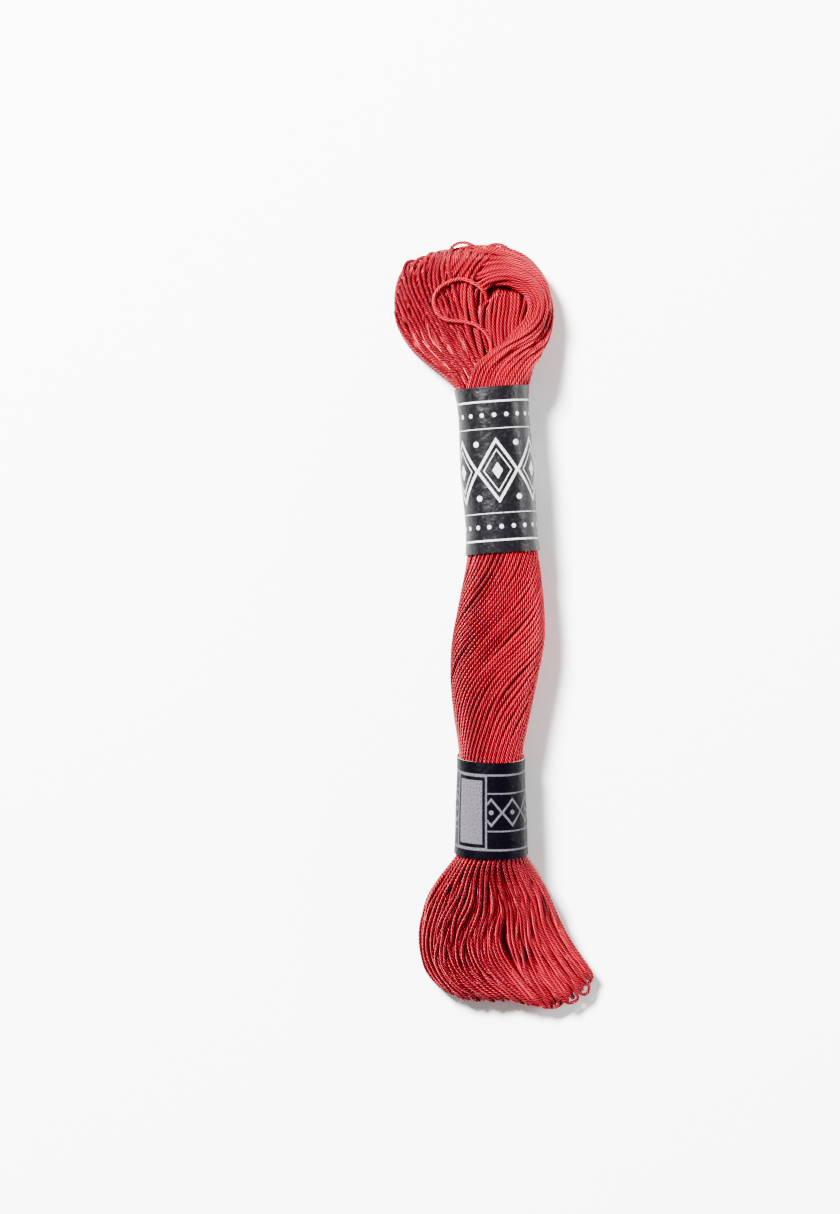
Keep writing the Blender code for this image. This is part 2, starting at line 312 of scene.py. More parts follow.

# How painted shade varies over a piece: its random seed, the level of painted shade at the surface
# and between buried strands, and how much the painted shade rises, lighter, for each millimetre
# across the skein.
Tones = namedtuple("Tones", "seed surface buried slant")
SLACK_TONES = Tones(21, 0.81, 0.81, 0.011)
HEAD_TONES = Tones(31, 0.45, 0.40, 0.011)
MIDDLE_TONES = Tones(32, 0.27, 0.22, 0.044)
FOOT_TONES = Tones(33, 0.17, 0.34, 0.023)
LAYER_SHADE = 0.13  # the head's top layer is painted this much darker, as painted shade
TONE_LIMITS = (0.12, 0.98)

CAMERA_PLACE = (-0.0150, 0.0034, 1.606)
CAMERA_LENS = 227.8
Lamp = namedtuple("Lamp", "name place size power")
LAMPS = [
    Lamp("Key softbox", (-0.55, 0.60, 1.0), 0.30, 116.0),
    Lamp("Low softbox", (1.0, 0.2, 0.35), 0.30, 11.0),
]
WORLD_LIGHT = 0.27
FLOOR_LIGHT = 1.8  # how much brighter the sweep is lit than the skein

# Single turns that stand open at the foot's lower right.
TIP_LOOPS = [
    [
        (3.6, -71.6, 5.6), (5.6, -74.2, 6.8), (7.5, -76.4, 6.7), (9.4, -78.4, 6.1),
        (11.2, -79.9, 4.4), (13.2, -80.2, 3.3), (14.8, -79.3, 3.4), (14.3, -77.6, 5.6),
        (12.4, -75.3, 6.4), (10.4, -73.0, 6.6), (9.0, -70.6, 5.6),
    ],
    [
        (13.0, -62.4, 5.4), (15.0, -65.4, 6.6), (16.9, -68.0, 6.0), (18.5, -70.0, 5.6),
        (20.2, -72.0, 4.6), (21.1, -73.8, 3.2), (20.3, -75.2, 3.2), (18.2, -74.6, 5.6),
        (16.0, -72.0, 6.3), (14.0, -69.2, 6.7), (12.6, -66.8, 5.6),
    ],
    [
        (8.6, -71.4, 5.4), (10.6, -74.2, 6.5), (12.6, -76.5, 6.3), (14.6, -78.3, 5.6),
        (16.4, -79.3, 3.8), (17.9, -78.6, 3.2), (17.4, -76.5, 5.6), (15.4, -74.0, 6.4),
        (13.4, -71.4, 6.6), (12.0, -69.2, 5.6),
    ],
    [
        (12.2, -69.6, 5.6), (14.6, -72.6, 6.4), (16.8, -75.2, 6.0), (18.5, -77.2, 4.2),
        (19.8, -77.5, 3.0), (20.4, -76.2, 3.0), (18.8, -74.0, 5.6), (16.8, -71.4, 6.3),
        (15.2, -68.8, 5.4),
    ],
    [
        (-2.6, -68.6, 6.2), (-0.8, -71.6, 7.2), (1.4, -74.2, 7.0), (4.2, -76.6, 6.6),
        (7.2, -78.6, 5.8), (9.4, -79.7, 4.2), (10.9, -79.6, 4.0), (10.9, -78.2, 5.6),
        (9.2, -76.2, 6.6), (7.4, -73.6, 6.9), (6.2, -70.8, 6.0),
    ],
]

# The slack loop of thread that lies on the head, from the eye round to the neck.
SLACK_LOOP = [
    (-1.4, 64.6, 4.6), (-1.2, 65.8, 5.4), (-1.1, 67.0, 6.3), (-1.2, 68.1, 7.3), (-1.7, 69.1, 8.1),
    (-2.6, 70.0, 8.4), (-4.2, 70.9, 8.65), (-7.1, 71.6, 8.1), (-9.2, 70.9, 8.25),
    (-11.0, 69.7, 8.2), (-12.1, 67.6, 7.75), (-11.9, 65.7, 7.75), (-11.0, 64.2, 7.95),
    (-9.6, 63.2, 8.0), (-7.6, 62.9, 8.05), (-5.2, 62.6, 8.35), (-3.1, 61.9, 8.35),
    (-1.6, 60.7, 8.0), (-0.7, 59.4, 7.8), (-0.3, 57.9, 8.0), (-0.3, 56.4, 8.3), (-0.5, 54.8, 8.6),
    (-1.2, 52.6, 9.0),
]

# Single turns that stand out beyond the head's rim.
RIM_LOOPS = [
    [
        (-16.6, 67.2, 3.6), (-17.9, 70.2, 3.4), (-18.4, 72.6, 3.2), (-18.4, 74.2, 3.1),
        (-17.9, 75.4, 3.1), (-16.7, 75.8, 3.2), (-15.5, 75.5, 3.4), (-13.9, 74.4, 3.4),
        (-12.0, 72.8, 3.0),
    ],
    [
        (-17.2, 72.0, 4.2), (-16.4, 74.6, 4.0), (-15.5, 76.0, 3.8), (-14.4, 76.5, 3.7),
        (-13.0, 76.3, 3.7), (-11.4, 75.6, 3.4), (-9.6, 74.6, 2.9),
    ],
    [
        (-9.7, 73.6, 4.6), (-9.3, 76.3, 4.4), (-8.5, 78.4, 4.2), (-7.3, 79.3, 4.0),
        (-5.8, 79.5, 3.9), (-4.4, 79.1, 3.9), (-2.9, 78.1, 3.7), (-1.2, 76.8, 3.2),
    ],
    [
        (-3.4, 76.2, 5.0), (-2.0, 77.8, 4.9), (-0.6, 78.8, 4.7), (0.7, 79.1, 4.6), (1.9, 79.0, 4.6),
        (3.0, 78.4, 4.6), (4.0, 77.6, 4.5), (5.0, 76.2, 4.1), (5.8, 74.6, 3.6),
    ],
]

# The top layer at the head's left: lines from the rim, over which it comes, down to the neck.
HEAD_FANS = [
    Fan(0.00, [
        (-20.3, 64.6), (-19.9, 62.4), (-18.9, 60.2), (-17.3, 57.6), (-14.0, 54.6), (-9.8, 51.6),
        (-7.3, 49.2), (-6.9, 46.0),
    ]),
    Fan(0.17, [
        (-20.2, 69.8), (-19.7, 68.3), (-19.1, 66.3), (-17.7, 63.3), (-16.0, 60.4), (-15.0, 58.4),
        (-11.6, 54.6), (-8.2, 51.6), (-6.7, 49.2), (-6.2, 46.0),
    ]),
    Fan(0.38, [
        (-18.7, 74.2), (-18.2, 72.6), (-17.6, 70.2), (-16.4, 67.3), (-14.6, 63.3), (-12.4, 59.4),
        (-9.3, 55.4), (-6.6, 52.0), (-5.3, 49.2), (-5.0, 46.0),
    ]),
    Fan(0.58, [
        (-15.2, 76.1), (-15.1, 74.2), (-14.9, 71.2), (-13.8, 67.9), (-12.0, 64.3), (-10.0, 60.8),
        (-8.6, 58.4), (-6.6, 55.0), (-4.6, 51.8), (-3.7, 49.0), (-3.4, 46.0),
    ]),
    Fan(0.70, [
        (-12.2, 77.0), (-12.5, 75.2), (-13.0, 72.2), (-12.7, 69.8), (-11.8, 67.0), (-10.0, 63.3),
        (-7.3, 58.8), (-5.2, 55.0), (-3.4, 52.0), (-2.6, 49.0), (-2.4, 46.0),
    ]),
    Fan(0.84, [
        (-10.2, 77.9), (-10.8, 76.0), (-11.2, 73.6), (-10.9, 71.0), (-9.9, 67.9), (-8.6, 64.3),
        (-6.5, 60.4), (-4.0, 55.4), (-2.4, 52.0), (-1.7, 49.0), (-1.5, 46.0),
    ]),
    Fan(1.00, [
        (-7.4, 78.9), (-8.6, 76.6), (-8.8, 74.4), (-8.2, 72.0), (-7.1, 69.1), (-6.2, 65.3),
        (-4.8, 61.4), (-3.0, 56.4), (-1.2, 52.0), (-0.7, 49.0), (-0.5, 46.0),
    ]),
]
HEAD_LAYER = 15
# The turns that lie under that rim, from the neck round to the top.
RIM_LINE = [
    (-9.6, 51.6), (-13.9, 54.7), (-17.1, 57.7), (-18.7, 60.2), (-19.7, 62.4), (-20.1, 64.6),
    (-20.2, 67.2), (-20.0, 69.8), (-19.4, 72.0), (-18.4, 74.0), (-16.9, 75.4), (-15.0, 76.2),
    (-12.2, 77.0), (-10.2, 77.9), (-8.0, 78.3), (-5.6, 78.0),
]
RIM_TURNS = 6
RIM_TURN_HEIGHT = 1.0
RIM_HEIGHT = 2.5  # of a strand as it comes over the rim
RIM_REACH = 3.4  # how far in from the rim it has climbed onto the rest
RIM_TUCK = [(2.6, 1.7), (1.3, 1.75), (0.35, 1.95)]  # how far in and how high its start lies


class SkeinSizes(bpy.types.PropertyGroup):
    """The sizes that a user would change."""

    thread_diameter: bpy.props.FloatProperty(
        name="Thread diameter", description="Across the plied thread", default=0.80 * MM,
        unit="LENGTH", precision=5,
    )
    loops: bpy.props.IntProperty(
        name="Loops", description="Turns of thread wound into the skein", default=118, min=8
    )
    ply_pitch: bpy.props.FloatProperty(
        name="Ply pitch", description="Length of thread in which one ply goes once round",
        default=3.0 * MM, unit="LENGTH", precision=5,
    )


class SkeinColours(bpy.types.PropertyGroup):
    """The colours that a user would change, as sRGB hex values."""

    thread: bpy.props.StringProperty(
        name="Thread", description="Dyed cotton, sRGB hex", default="F20A38"
    )
    # Painted shade: the darker colour painted into the grooves between the plies.
    thread_deep: bpy.props.StringProperty(
        name="Thread, between plies", description="Cotton between the plies, sRGB hex",
        default="5A0010",
    )
    upper_paper: bpy.props.StringProperty(
        name="Upper band", description="Coated black paper, sRGB hex", default="0B090D"
    )
    lower_paper: bpy.props.StringProperty(
        name="Lower band", description="Coated blue-black paper, sRGB hex", default="030207"
    )
    upper_ink: bpy.props.StringProperty(
        name="Upper band's ink", description="White print, sRGB hex", default="E6E4EA"
    )
    lower_ink: bpy.props.StringProperty(
        name="Lower band's ink", description="Silver print, sRGB hex", default="5C5860"
    )
    paper_core: bpy.props.StringProperty(
        name="Paper's edge", description="Uncoated paper core, sRGB hex", default="D8D2CC"
    )
    floor: bpy.props.StringProperty(
        name="Floor", description="Studio floor, sRGB hex", default="F4F4F4"
    )


def linear(code):
    """An sRGB hex value as linear RGBA."""
    parts = [int(code[i : i + 2], 16) / 255 for i in (0, 2, 4)]
    return (*[c / 12.92 if c <= 0.04045 else ((c + 0.055) / 1.055) ** 2.4 for c in parts], 1.0)


def through(knots, values, at):
    """Values at the places asked for, on a smooth curve through the rows."""
    knots, values, at = np.asarray(knots, float), np.asarray(values, float), np.asarray(at, float)
    rises = np.diff(values, axis=0) / np.diff(knots)[:, None]
    before, after = np.diff(knots)[:-1, None], np.diff(knots)[1:, None]
    inner = (rises[:-1] * after + rises[1:] * before) / (before + after)
    slopes = np.concatenate([rises[:1], inner, rises[-1:]])
    row = np.clip(np.searchsorted(knots, at, side="right") - 1, 0, len(knots) - 2)
    span = knots[row + 1] - knots[row]
    t = ((at - knots[row]) / span)[:, None]
    return (
        values[row] * (2 * t**3 - 3 * t**2 + 1)
        + slopes[row] * span[:, None] * (t**3 - 2 * t**2 + t)
        + values[row + 1] * (3 * t**2 - 2 * t**3)
        + slopes[row + 1] * span[:, None] * (t**3 - t**2)
    )


def along(points):
    """The distance along a line at each of its points."""
    return np.concatenate([[0.0], np.cumsum(np.linalg.norm(np.diff(points, axis=0), axis=1))])


def eased(value, low, high):
    """0 below low, 1 above high, smooth between."""
    t = np.clip((value - low) / (high - low), 0, 1)
    return t * t * (3 - 2 * t)


def unit(vectors):
    return vectors / np.maximum(np.linalg.norm(vectors, axis=-1, keepdims=True), 1e-9)


def sections_at(places):
    """Middle x, middle z, half width, half height and turn of the hank at places along Y."""
    table = np.array(SECTIONS, float)
    _, left, right, low, high, turned = through(table[:, 0], table, places).T
    return (left + right) / 2, (low + high) / 2, (right - left) / 2, (high - low) / 2, turned


def section_at(place):
    """The same at one place."""
    return (float(values[0]) for values in sections_at([place]))


# A section's outline: from shares of its half sizes to millimetres and back, its area, and
# how square it is.
Duct = namedtuple("Duct", "place_of share_of area flatness")


def oval_duct(half_width, half_height, flatness=FLATNESS):
    reach = np.array([half_width, half_height])
    fill = 3.3 if flatness < 3 else 3.6
    return Duct(
        lambda share: share * reach, lambda places: places / reach,
        fill * half_width * half_height, flatness,
    )


def spacing_in(duct, count, crowd):
    """How far apart strands stand when they fill a section, row on row."""
    return crowd * math.sqrt(1.15 * duct.area / count)


def even_out(places, gap, duct, rounds):
    """Moves the strands of a section apart until they fill its outline evenly."""
    for _ in range(rounds):
        apart = places[:, None] - places[None]
        distance = np.sqrt((apart**2).sum(axis=2)) + 9 * np.eye(len(places))
        push = np.clip(gap - distance, 0, None) / distance * 0.3
        places = places + (apart * push[..., None]).sum(axis=1)
        share = duct.share_of(places)
        level = (np.abs(share) ** duct.flatness).sum(axis=1) ** (1 / duct.flatness)
        over = level > 1
        places[over] = duct.place_of(share[over] / level[over, None])
    return places


def packed(ducts, turns, share, crowd=1.06, rounds=10):
    """Where strands lie in each section of a bundle, side by side all the way along.

    turns are the sections' angles and share where the strands lie in the first section, as
    shares of its half sizes.
    """
    sections = []
    for number, duct in enumerate(ducts):
        if number:
            share = ducts[number - 1].share_of(sections[-1])
            step = turns[number] - turns[number - 1]
            across = share[:, 0] * math.cos(step) - share[:, 1] * math.sin(step)
            up = share[:, 0] * math.sin(step) + share[:, 1] * math.cos(step)
            share = np.stack([across, up], axis=1)
        side_by_side = 2.05 * duct.place_of(np.ones(2))[0] / len(share)
        gap = max(spacing_in(duct, len(share), crowd), side_by_side)
        places = duct.place_of(share)
        sections.append(even_out(places, gap, duct, rounds if number else FIRST_ROUNDS))
    sections = np.stack(sections, axis=1)
    for _ in range(3):
        beside = sections[:, :-2] + sections[:, 2:]
        sections[:, 1:-1] = 0.5 * sections[:, 1:-1] + 0.25 * beside
    return sections


def seed_places(count):
    """A first, even spread of strands over a round section of radius 1."""
    number = np.arange(count)
    rank = np.sqrt((number + 0.5) / count)
    angle = number * GOLDEN_ANGLE
    return np.stack([rank * np.cos(angle), rank * np.sin(angle)], axis=1)


def swept(rows, count, radius):
    """The strands of one bundle of the head, packed side by side in its section all along."""
    table = np.array(rows, float)
    knots = along(table[:, :3])
    line = through(knots, table, np.linspace(0, knots[-1], round(knots[-1])))
    centre, roll, facing = line[:, None, :3], np.radians(line[:, 5]), np.radians(line[:, 6])
    side = np.stack([np.cos(facing), np.sin(facing), 0 * facing], axis=1)
    ducts = [oval_duct(wide - radius, thick - radius, 3.4) for wide, thick in line[:, 3:5]]
    places = packed(ducts, 0 * roll, seed_places(count), rounds=24).transpose(1, 0, 2)
    roll = roll[:, None]
    out = places[..., 0] * np.cos(roll) - places[..., 1] * np.sin(roll)
    high = places[..., 0] * np.sin(roll) + places[..., 1] * np.cos(roll)
    strands = centre + side[:, None] * out[..., None] + np.array([0, 0, 1]) * high[..., None]
    return strands.transpose(1, 0, 2)


def close_pairs(points, strand, reach):
    """Every pair of points of different strands that are within reach of each other."""
    cell = np.floor(points / reach).astype(np.int64)
    cell -= cell.min(axis=0) - 1
    size = cell.max(axis=0) + 2
    key = (cell[:, 0] * size[1] + cell[:, 1]) * size[2] + cell[:, 2]
    order = np.argsort(key, kind="stable")
    sorted_key = key[order]
    first, second = [], []
    number = np.arange(len(points))
    sides = (-1, 0, 1)
    cells = [(x, y, z) for x in sides for y in sides for z in sides]
    for x, y, z in (cell for cell in cells if cell >= (0, 0, 0)):
        target = key + (x * size[1] + y) * size[2] + z
        start = np.searchsorted(sorted_key, target, "left")
        count = np.searchsorted(sorted_key, target, "right") - start
        i = np.repeat(number, count)
        within = np.arange(len(i)) - np.repeat(np.cumsum(count) - count, count)
        j = order[np.repeat(start, count) + within]
        keep = strand[i] != strand[j]
        if (x, y, z) == (0, 0, 0):
            keep &= i < j
        i, j = i[keep], j[keep]
        near = ((points[i] - points[j]) ** 2).sum(axis=1) < reach**2
        first.append(i[near])
        second.append(j[near])
    return np.concatenate(first), np.concatenate(second)


def lone_neighbours(points, strand, contact):
    """Points that touch no other strand, and the nearest point of another strand to each."""
    i, j = close_pairs(points, strand, 2.2)
    i, j = np.concatenate([i, j]), np.concatenate([j, i])
    distance = np.linalg.norm(points[i] - points[j], axis=1)
    order = np.argsort(-distance)
    nearest, reach = np.full(len(points), -1), np.zeros(len(points))
    nearest[i[order]] = j[order]
    reach[i[order]] = distance[order]
    lone = np.flatnonzero((nearest >= 0) & (reach > 1.4 * contact))
    return lone, nearest[lone]


def summed(index, vectors, count):
    return np.stack([np.bincount(index, vectors[:, k], count) for k in range(3)], axis=1)


def held_in(points, radius, stretches):
    """Brings strands back inside the hank's outline over these stretches of its length."""
    for low, high in stretches:
        held = (points[:, 1] >= low) & (points[:, 1] <= high)
        if not held.any():
            continue
        middle_x, middle_z, half_width, half_height, _ = sections_at(points[held, 1])
        x = (points[held, 0] - middle_x) / (half_width - radius)
        z = (points[held, 2] - middle_z) / (half_height - radius)
        level = np.maximum((np.abs(x) ** FLATNESS + np.abs(z) ** FLATNESS) ** (1 / FLATNESS), 1)
        points[held, 0] = middle_x + x / level * (half_width - radius)
        points[held, 2] = middle_z + z / level * (half_height - radius)
    return points


def settle(strands, radius, rounds, stretches=BAND_STRETCHES):
    """Lets strands that overlap push each other apart until they lie side by side."""
    design = np.concatenate(strands)
    strand = np.concatenate([np.full(len(line), i) for i, line in enumerate(strands)])
    count = len(design)
    before, after = np.arange(count) - 1, np.arange(count) + 1
    starts = np.cumsum([0] + [len(line) for line in strands])
    before[starts[:-1]] = starts[:-1]
    after[starts[1:] - 1] = starts[1:] - 1
    free = []
    for line in strands:
        distance = along(line)
        free.append(eased(np.minimum(distance, distance[-1] - distance), 0, FIXED_ENDS))
    free = np.concatenate(free)[:, None]
    spacing = np.median(np.linalg.norm(design[after] - design, axis=1)[free[:, 0] > 0])
    contact = 2 * radius * CONTACT
    points = design.copy()
    for turn in range(rounds):
        if turn % 4 == 0:
            i, j = close_pairs(points, strand, contact + 0.45)
        if turn % 12 == 0:
            lone, beside = lone_neighbours(points, strand, contact)
        heading = unit(points[after] - points[before])
        apart = points[i] - points[j]
        lengthwise = (apart * heading[j]).sum(axis=1, keepdims=True)
        apart = apart - lengthwise * heading[j]
        distance = np.linalg.norm(apart, axis=1, keepdims=True)
        touching = (np.abs(lengthwise) < 0.6 * spacing) & (distance < contact)
        push = apart / np.maximum(distance, 1e-3) * (contact - distance)
        push = np.where(touching, push, 0)
        move = summed(i, push, count) - summed(j, push, count)
        gap_there = points[beside] - points[lone]
        reach = np.linalg.norm(gap_there, axis=1, keepdims=True)
        move[lone] += gap_there * np.clip(1 - contact / reach, 0, 1) * CLOSING
        length = np.linalg.norm(move, axis=1, keepdims=True)
        move *= np.minimum(1, MOST_MOVE / np.maximum(length, 1e-9))
        shift = points - design + EASE * move
        for _ in range(2):
            shift = 0.5 * shift + 0.25 * (shift[before] + shift[after])
        shift[:, :2] *= 1 - HOLD
        points = design + shift * free
        points[:, 2] = np.maximum(points[:, 2], radius)
        points = held_in(points, radius, stretches)
    return [points[a:b] for a, b in zip(starts, starts[1:])]


def resampled(line, step):
    """The same line with its points a step apart."""
    distance = along(line)
    count = max(round(distance[-1] / step), 4) + 1
    return through(distance, line, np.linspace(0, distance[-1], count))


def rounded(line, rounds):
    """The same line with its inner points drawn in between their neighbours."""
    for _ in range(rounds):
        line[1:-1] = 0.5 * line[1:-1] + 0.25 * (line[:-2] + line[2:])
    return line


def bundle_counts(loops):
    """How many of the loops run in each bundle of the head."""
    counts = [round(loops * share) for share in BUNDLE_SHARES]
    counts[2] += loops - sum(counts)
    return counts


def neck_places(loops, radius):
    """Where the loops' left and right limbs stand in the neck, as shares of its half sizes."""
    middle_x, middle_z, half_width, half_height, _ = section_at(HEAD_CUT)
    reach = np.array([half_width - radius, half_height - radius])
    left, right = [], []
    for rows, count in zip(BUNDLES, bundle_counts(loops)):
        strands = swept(rows, count, radius)
        left.append(strands[:, 0][:, [0, 2]])
        right.append(strands[:, -1][:, [0, 2]])
    places = np.concatenate(left + right) - [middle_x, middle_z]
    duct = oval_duct(*reach)
    return even_out(places, spacing_in(duct, len(places), 1.06), duct, 200) / reach


def neck_line(place, ys, radius, turned=True):
    """A strand's line through the neck and the middle of the hank."""
    middle_x, middle_z, half_width, half_height, turn = sections_at(ys)
    turn = np.radians(turn) * turned
    across = place[0] * np.cos(turn) - place[1] * np.sin(turn)
    up = place[0] * np.sin(turn) + place[1] * np.cos(turn)
    x = middle_x + (half_width - radius) * across
    z = middle_z + (half_height - radius) * up
    return np.stack([x, ys, z], axis=1)


def waves(rng, count, at, lengths, size):
    """Slow random waves along a strand, one row for each strand."""
    total = np.zeros((count, len(at)))
    for length in lengths:
        phase = rng.uniform(0, 2 * math.pi, (count, 1))
        own_length = length * rng.uniform(0.8, 1.25, (count, 1))
        total += np.sin(2 * math.pi * at[None] / own_length + phase)
    return size * total / len(lengths) ** 0.5


def head_strands(loops, radius):
    """The loops of the head, from the left limb in the neck round to the right one."""
    rng = np.random.default_rng(11)
    places = neck_places(loops, radius)
    strands, first = [], 0
    for rows, count in zip(BUNDLES, bundle_counts(loops)):
        lines = swept(rows, count, radius)
        half = lines.shape[1] // 2
        for number, line in enumerate(lines):
            for part, place in (
                (line[:half], places[first + number]),
                (line[half:], places[first + number + loops]),
            ):
                target = neck_line(place, part[:, 1], radius)
                share = 1 - eased(part[:, 1], *NECK_BLEND)[:, None]
                part += (target - part) * share
            loose = eased(line[:, 1], *LOOSE_FROM)
            at = along(line)
            line[:, :2] += waves(rng, 2, at, (34, 15), 0.13).T * loose[:, None]
            line[:, 2] += waves(rng, 1, at, (30, 12), 0.12)[0] * loose
            strands.append(resampled(line, LINE_STEP))
        first += count
    return strands


def stray_strands(loops):
    """The single turns, rounded off between their points."""
    return [rounded(resampled(np.array(loop, float), 0.5), 5) for loop in loops]


def middle_places(loops, radius):
    """The stations along the middle of the hank, and where every strand lies at each of them."""
    ys = np.linspace(HEAD_CUT, FOOT_CUT, 69)
    middle_x, middle_z, half_width, half_height, turn = sections_at(ys)
    reaches = np.stack([half_width - radius, half_height - radius], axis=1)
    ducts = [oval_duct(*reach) for reach in reaches]
    places = packed(ducts, np.radians(turn), neck_places(loops, radius), crowd=1.12, rounds=6)
    x = middle_x + places[..., 0]
    z = middle_z + places[..., 1]
    return np.stack([x, np.broadcast_to(ys, x.shape), z], axis=2), places / reaches


def middle_strands(loops, radius):
    """Every strand between the bands, turning round the hank's axis as it goes."""
    rng = np.random.default_rng(12)
    lines, places = middle_places(loops, radius)
    strands = []
    angle = np.arctan2(places[:, 0, 1], places[:, 0, 0])
    rank = np.linalg.norm(places[:, 0], axis=1)
    wedge = np.floor((angle + math.pi) / (2 * math.pi) * WEDGES)
    group = (wedge + WEDGES * (rank > 0.62)).astype(int) % (2 * WEDGES)
    ys = lines[0, :, 1]
    free = eased(ys, -26, -17) * (1 - eased(ys, 5, 13))
    group_turn = waves(rng, 2 * WEDGES, ys, (46, 23), 2.2)
    own_turn = waves(rng, len(lines), ys, (30, 14), 1.2)
    middle_x, middle_z, half_width, half_height, _ = sections_at(ys)
    for number, line in enumerate(lines):
        turn = np.radians((group_turn[group[number]] + own_turn[number]) * free)
        across = (line[:, 0] - middle_x) / half_width
        up = (line[:, 2] - middle_z) / half_height
        line[:, 0] = middle_x + half_width * (across * np.cos(turn) - up * np.sin(turn))
        line[:, 2] = middle_z + half_height * (across * np.sin(turn) + up * np.cos(turn))
        strands.append(resampled(line, LINE_STEP))
    return strands


def fan_line(fans, place, shares):
    """The line through a fan at this place across it, at these shares of its length."""
    lines = []
    for fan in fans:
        points = np.array(fan.line, float)
        distance = along(points)
        lines.append(through(distance, points, shares * distance[-1]))
    lines = np.array(lines).reshape(len(fans), -1)
    return through([fan.place for fan in fans], lines, [place]).reshape(-1, 2)


def resting(plan, body, radius):
    """How high a strand lies on the strands below it, at each point of its plan."""
    apart = np.sqrt(((plan[:, None] - body[None, :, :2]) ** 2).sum(axis=2))
    lift = np.sqrt(np.clip(4 * radius**2 - apart**2, 0, None))
    return np.where(apart < 2 * radius, body[None, :, 2] + lift, 0.0).max(axis=1)


def head_layer(strands, radius):
    """The strands of the head's left that come over the rim and lie on the rest."""
    rng = np.random.default_rng(14)
    body = np.concatenate([line[: round(0.55 * len(line))] for line in strands])
    layer = []
    for number in range(HEAD_LAYER):
        plan = fan_line(HEAD_FANS, (number + 0.5) / HEAD_LAYER, np.linspace(0, 1, 81))
        at = along(plan)
        plan += waves(rng, 2, at, (30, 13), 0.12).T * eased(at, 1, 6)[:, None]
        laid = resting(plan, body, radius)
        top = np.interp(RIM_REACH, at, laid)
        climb = np.sqrt(1 - np.clip(1 - at / RIM_REACH, 0, 1) ** 2)
        z = np.maximum(laid, RIM_HEIGHT + (top - RIM_HEIGHT) * climb)
        for _ in range(14):
            z[1:-1] = np.maximum(z[1:-1], 0.5 * z[1:-1] + 0.25 * (z[:-2] + z[2:]))
        z = rounded(z, 24)
        z -= (number % 2) * (1.3 - 1.0 * eased(plan[:, 1], 56.0, 64.0))
        inward = unit(plan[4] - plan[0])
        under = [(*(plan[0] + inward * step), height) for step, height in RIM_TUCK]
        line = np.concatenate([under, np.concatenate([plan, z[:, None]], axis=1)])
        line = held_in(rounded(line, 4), radius, BAND_STRETCHES)
        layer.append(resampled(line, 0.5))
    return layer


def rim_turns(radius):
    """The turns that lie under the rim at the head's left, beside each other."""
    turns = []
    for number in range(RIM_TURNS):
        plan = resampled(np.array(RIM_LINE, float), LINE_STEP)
        share = along(plan) / along(plan)[-1]
        heading = unit(np.gradient(plan, axis=0))
        inward = np.stack([heading[:, 1], -heading[:, 0]], axis=1)
        tucked = 3.0 * (1 - eased(share, 0, 0.12) * (1 - eased(share, 0.88, 1)))
        plan += inward * (0.1 + 1.75 * radius * number + tucked)[:, None]
        turns.append(np.concatenate([plan, np.full((len(plan), 1), RIM_TURN_HEIGHT)], axis=1))
    return turns


def foot_places(start):
    """Each strand's place across the foot's fan and its level in it, in staggered layers."""
    order = np.argsort(start[:, 0])
    rim = np.maximum(1 - np.abs(start[:, 0]) ** FLATNESS, 0.05) ** (1 / FLATNESS)
    height = np.clip(start[:, 1] / rim, -1, 1)
    place, level = np.empty(len(start)), np.empty(len(start))
    columns = np.array_split(order, len(start) // FOOT_LAYERS)
    for number, column in enumerate(columns):
        ranked = column[np.argsort(height[column])]
        level[ranked] = np.linspace(-1, 1, len(column))
        aside = 0.25 * (-1.0) ** np.arange(len(column))[::-1]
        place[ranked] = (number + 0.5 + aside) / len(columns)
    return order, height, place, level


def foot_run(rng, start, place, level, shares, depth, radius):
    """One strand of the foot: its line through the lower band, and its line over the fan."""
    plan = fan_line(FANS, place, shares)
    neck = neck_line(start, np.arange(FOOT_CUT, -46.6, -LINE_STEP), radius, False)
    meet = neck_line(start, plan[:1, 1], radius, False)[0]
    blend = 1 - eased(shares, 0, 0.35)
    plan[:, 0] += (meet[0] - plan[0, 0]) * blend
    from_split = (place - PARTING.place) * 38
    split = np.sign(from_split) * math.exp(-((from_split / 1.8) ** 2)) * max(level + 0.1, 0) / 1.1
    opening = eased(shares, 0.30, 0.50) * (1 - eased(shares, 0.54, 0.76))
    plan[:, 0] += PARTING.half * split * opening
    spread = eased(shares, 0.0, 0.36)
    edge = (1 - abs(2 * place - 1) ** 5) ** 0.4
    layer = start[1] * (1 - spread) + level * (0.35 + 0.65 * edge) * spread
    z = depth[:, 0] + (depth[:, 1] - radius) * layer
    z += (meet[2] - z[0]) * blend
    fan = np.concatenate([plan, z[:, None]], axis=1)
    loose = eased(along(fan), 2, 12)[:, None]
    fan += waves(rng, 3, along(fan), (30, 13), 0.15).T * loose
    fan[:, 0] += waves(rng, 1, along(fan), (46,), 0.5)[0] * loose[:, 0] * (level > 0.4)
    return neck, fan


def foot_pairs(order, height, level):
    """Which strand of the fan turns back under it as which other one."""
    pairs, odd = [], []
    for column in np.array_split(order, len(order) // (2 * FOOT_LAYERS)):
        column = column[np.argsort(-level[column] - 0.01 * height[column], kind="stable")]
        pairs += [(column[k], column[-1 - k]) for k in range(len(column) // 2)]
        if len(column) % 2:
            odd.append(column[len(column) // 2])
    return pairs + list(zip(odd[::2], odd[1::2]))


